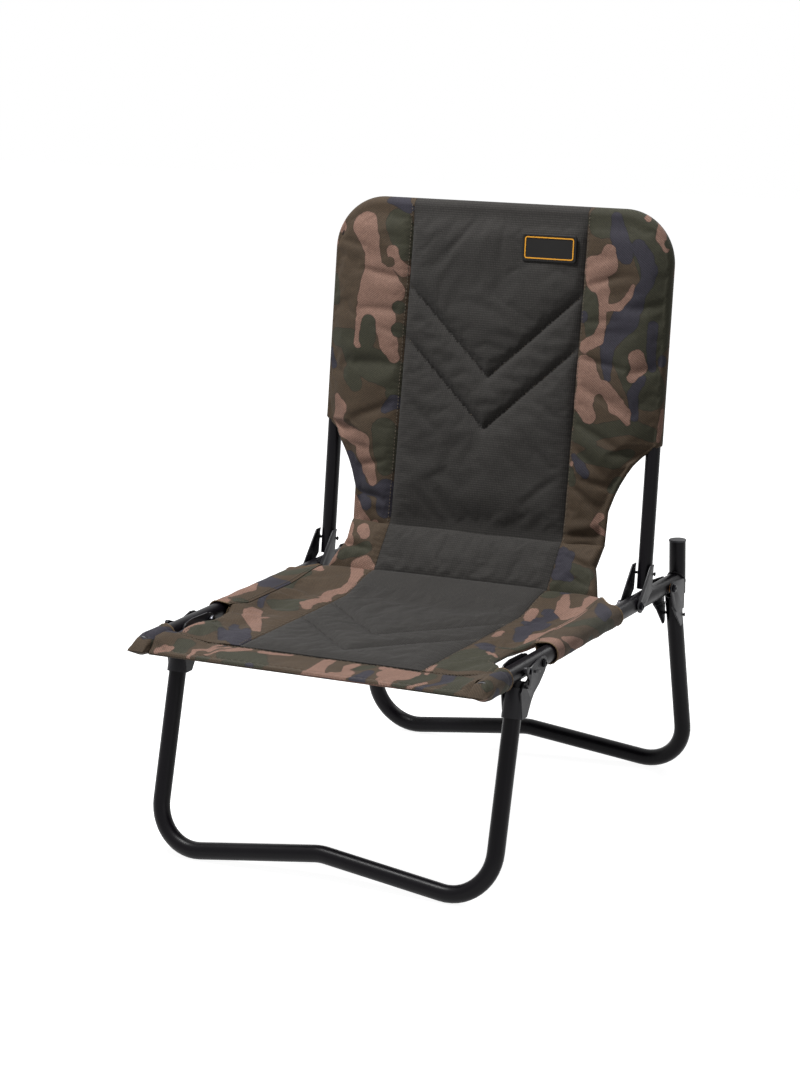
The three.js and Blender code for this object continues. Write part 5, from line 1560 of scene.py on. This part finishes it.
hem_long = 2 * (RAIL_X - POCKET_R - 8)
stitch_line(seat_thread, lambda t: on_hem(HEM_WIDE / (BAND_DEPTH + POCKET_TIP), 0.3, t), hem_long)
stitch_line(seat_thread, lambda t: on_hem(0.95, 0.4, t), hem_long)
finished(seat_thread, "seat_stitches", seam_thread, "seat_frame", tidy=False)
print("stitches sewn")

# %% [markdown]
# ## Cut edges
# The raw edges of the sleeves and pockets are turned and overlocked with a pale brown thread. A
# bead of that thread, a bent tube with small ripples, follows each edge.

# %% Cut edges
EDGE_BEAD, BEAD_SIDES = 0.85, 8


def bead_along(bm, place, steps):
    """A rippled bead of thread along place(t)."""
    first = ring = None
    for i in range(steps + 1):
        t = i / steps
        way = (place(min(t + 0.5 / steps, 1)) - place(max(t - 0.5 / steps, 0))).normalized()
        turn = way.to_track_quat("Z", "Y").to_matrix().to_4x4()
        size = EDGE_BEAD * (1 + 0.22 * math.sin(i * 2.1)) * MM
        made = bmesh.ops.create_circle(bm, segments=BEAD_SIDES, radius=size,
                                       matrix=Matrix.Translation(place(t)) @ turn)
        edges = list({e for v in made["verts"] for e in v.link_edges})
        if ring:
            bmesh.ops.bridge_loops(bm, edges=ring + edges)
        first = first or edges
        ring = edges
    bmesh.ops.contextual_create(bm, geom=first)
    bmesh.ops.contextual_create(bm, geom=ring)


bm = bmesh.new()
for sign in SIDES.values():
    for end in (0.0, 1.0):
        bead_along(bm, lambda t: sleeve_place(mix(0.02, 0.98, t), end, sign), 60)
    bead_along(bm, lambda t: pocket_place(mix(0.0, 0.995, t), 1.0, sign), 56)
finished(bm, "seat_edge_thread", overlock, "seat_frame", tidy=False)
print("edges overlocked")

# %% [markdown]
# ## A blank badge
# The real chair carries its maker's rubber patch here. This one is kept blank: a moulded patch
# with a raised land round its edge, a sunk field, and a thin ochre line that runs inside the
# border. It is pressed from one piece of soft PVC, and the line is a second colour poured in.

# %% A blank badge
LINE_IN, LINE_WIDE, LINE_THICK = 3.6, 1.5, 0.8
BADGE_LIFT, BADGE_BREAK = 4.3, 0.7

badge_rubber = hard_finish("moulded_pvc_rubber", "181717", "201F1E", 0.5, 0.0, 1.0, 0.06, 0.15)
ochre = hard_finish("ochre_pvc_line", "C98A1E", "DE9C2A", 0.5, 0.0, 1.0, 0.04)
low_at, high_at = (cover_ahead(BADGE_RISE + k * BADGE_HIGH / 2) + BADGE_LIFT for k in (-1, 1))
badge_tilt = math.atan2(low_at - high_at, BADGE_HIGH)
badge_spot = at_back(BADGE_X, BADGE_RISE, (low_at + high_at) / 2)
badge_right = Vector((1, 0, 0))
tip = Matrix.Rotation(badge_tilt, 3, badge_right)
badge_up, badge_out = (tip @ (at_back(0, *way) - at_back(0, 0, 0)).normalized() for way in ((1, 0), (0, 1)))
badge_axes = Matrix((badge_right, badge_up, badge_out)).transposed().to_4x4()
badge_frame = Matrix.Translation(badge_spot) @ badge_axes


def rounded_face(bm, wide, high, corner, lift):
    """One face with round corners, in the badge's own plane."""
    place = Matrix.Translation((0, 0, lift * MM)) @ Matrix.Diagonal((wide * MM, high * MM, 1, 1))
    made = bmesh.ops.create_grid(bm, x_segments=1, y_segments=1, size=0.5, matrix=place)
    bmesh.ops.bevel(bm, geom=made["verts"], offset=corner * MM, segments=7, profile=0.5, affect="VERTICES",
                    material=-1)
    bm.faces.ensure_lookup_table()
    return bm.faces[-1]


bm = bmesh.new()
face = rounded_face(bm, BADGE_WIDE, BADGE_HIGH, BADGE_ROUND, 0.0)
out = bmesh.ops.extrude_face_region(bm, geom=[face])["geom"]
bmesh.ops.translate(bm, verts=verts_of(out), vec=(0, 0, BADGE_THICK * MM))
top = max(bm.faces, key=lambda f: f.calc_center_median().z)
bmesh.ops.bevel(bm, geom=top.edges[:], offset=BADGE_BREAK * MM, segments=3, profile=0.5, affect="EDGES",
                material=-1)
top = max((f for f in bm.faces if abs(f.normal.z) > 0.9), key=lambda f: f.calc_center_median().z)
bmesh.ops.inset_region(bm, faces=[top], thickness=2.0 * MM, use_even_offset=True)
bmesh.ops.inset_region(bm, faces=[top], thickness=0.5 * MM, depth=-0.7 * MM, use_even_offset=True)
bmesh.ops.transform(bm, matrix=badge_frame, verts=bm.verts)
finished(bm, "blank_badge", badge_rubber, "backrest", ["back_badge"])

bm = bmesh.new()
face = rounded_face(bm, BADGE_WIDE - 2 * LINE_IN, BADGE_HIGH - 2 * LINE_IN, BADGE_ROUND - 1.2,
                    BADGE_THICK - BADGE_BREAK)
bmesh.ops.inset_region(bm, faces=[face], thickness=LINE_WIDE * MM, use_boundary=True, use_even_offset=True)
inner = min(bm.faces, key=lambda f: f.calc_center_median().xy.length)
bmesh.ops.delete(bm, geom=[inner], context="FACES")
bmesh.ops.solidify(bm, geom=bm.faces[:], thickness=LINE_THICK * MM)
proud = BADGE_THICK * MM - max(v.co.z for v in bm.verts)
bmesh.ops.translate(bm, verts=bm.verts, vec=(0, 0, proud))
bmesh.ops.transform(bm, matrix=badge_frame, verts=bm.verts)
finished(bm, "badge_line", ochre, "backrest")
print("badge blank")
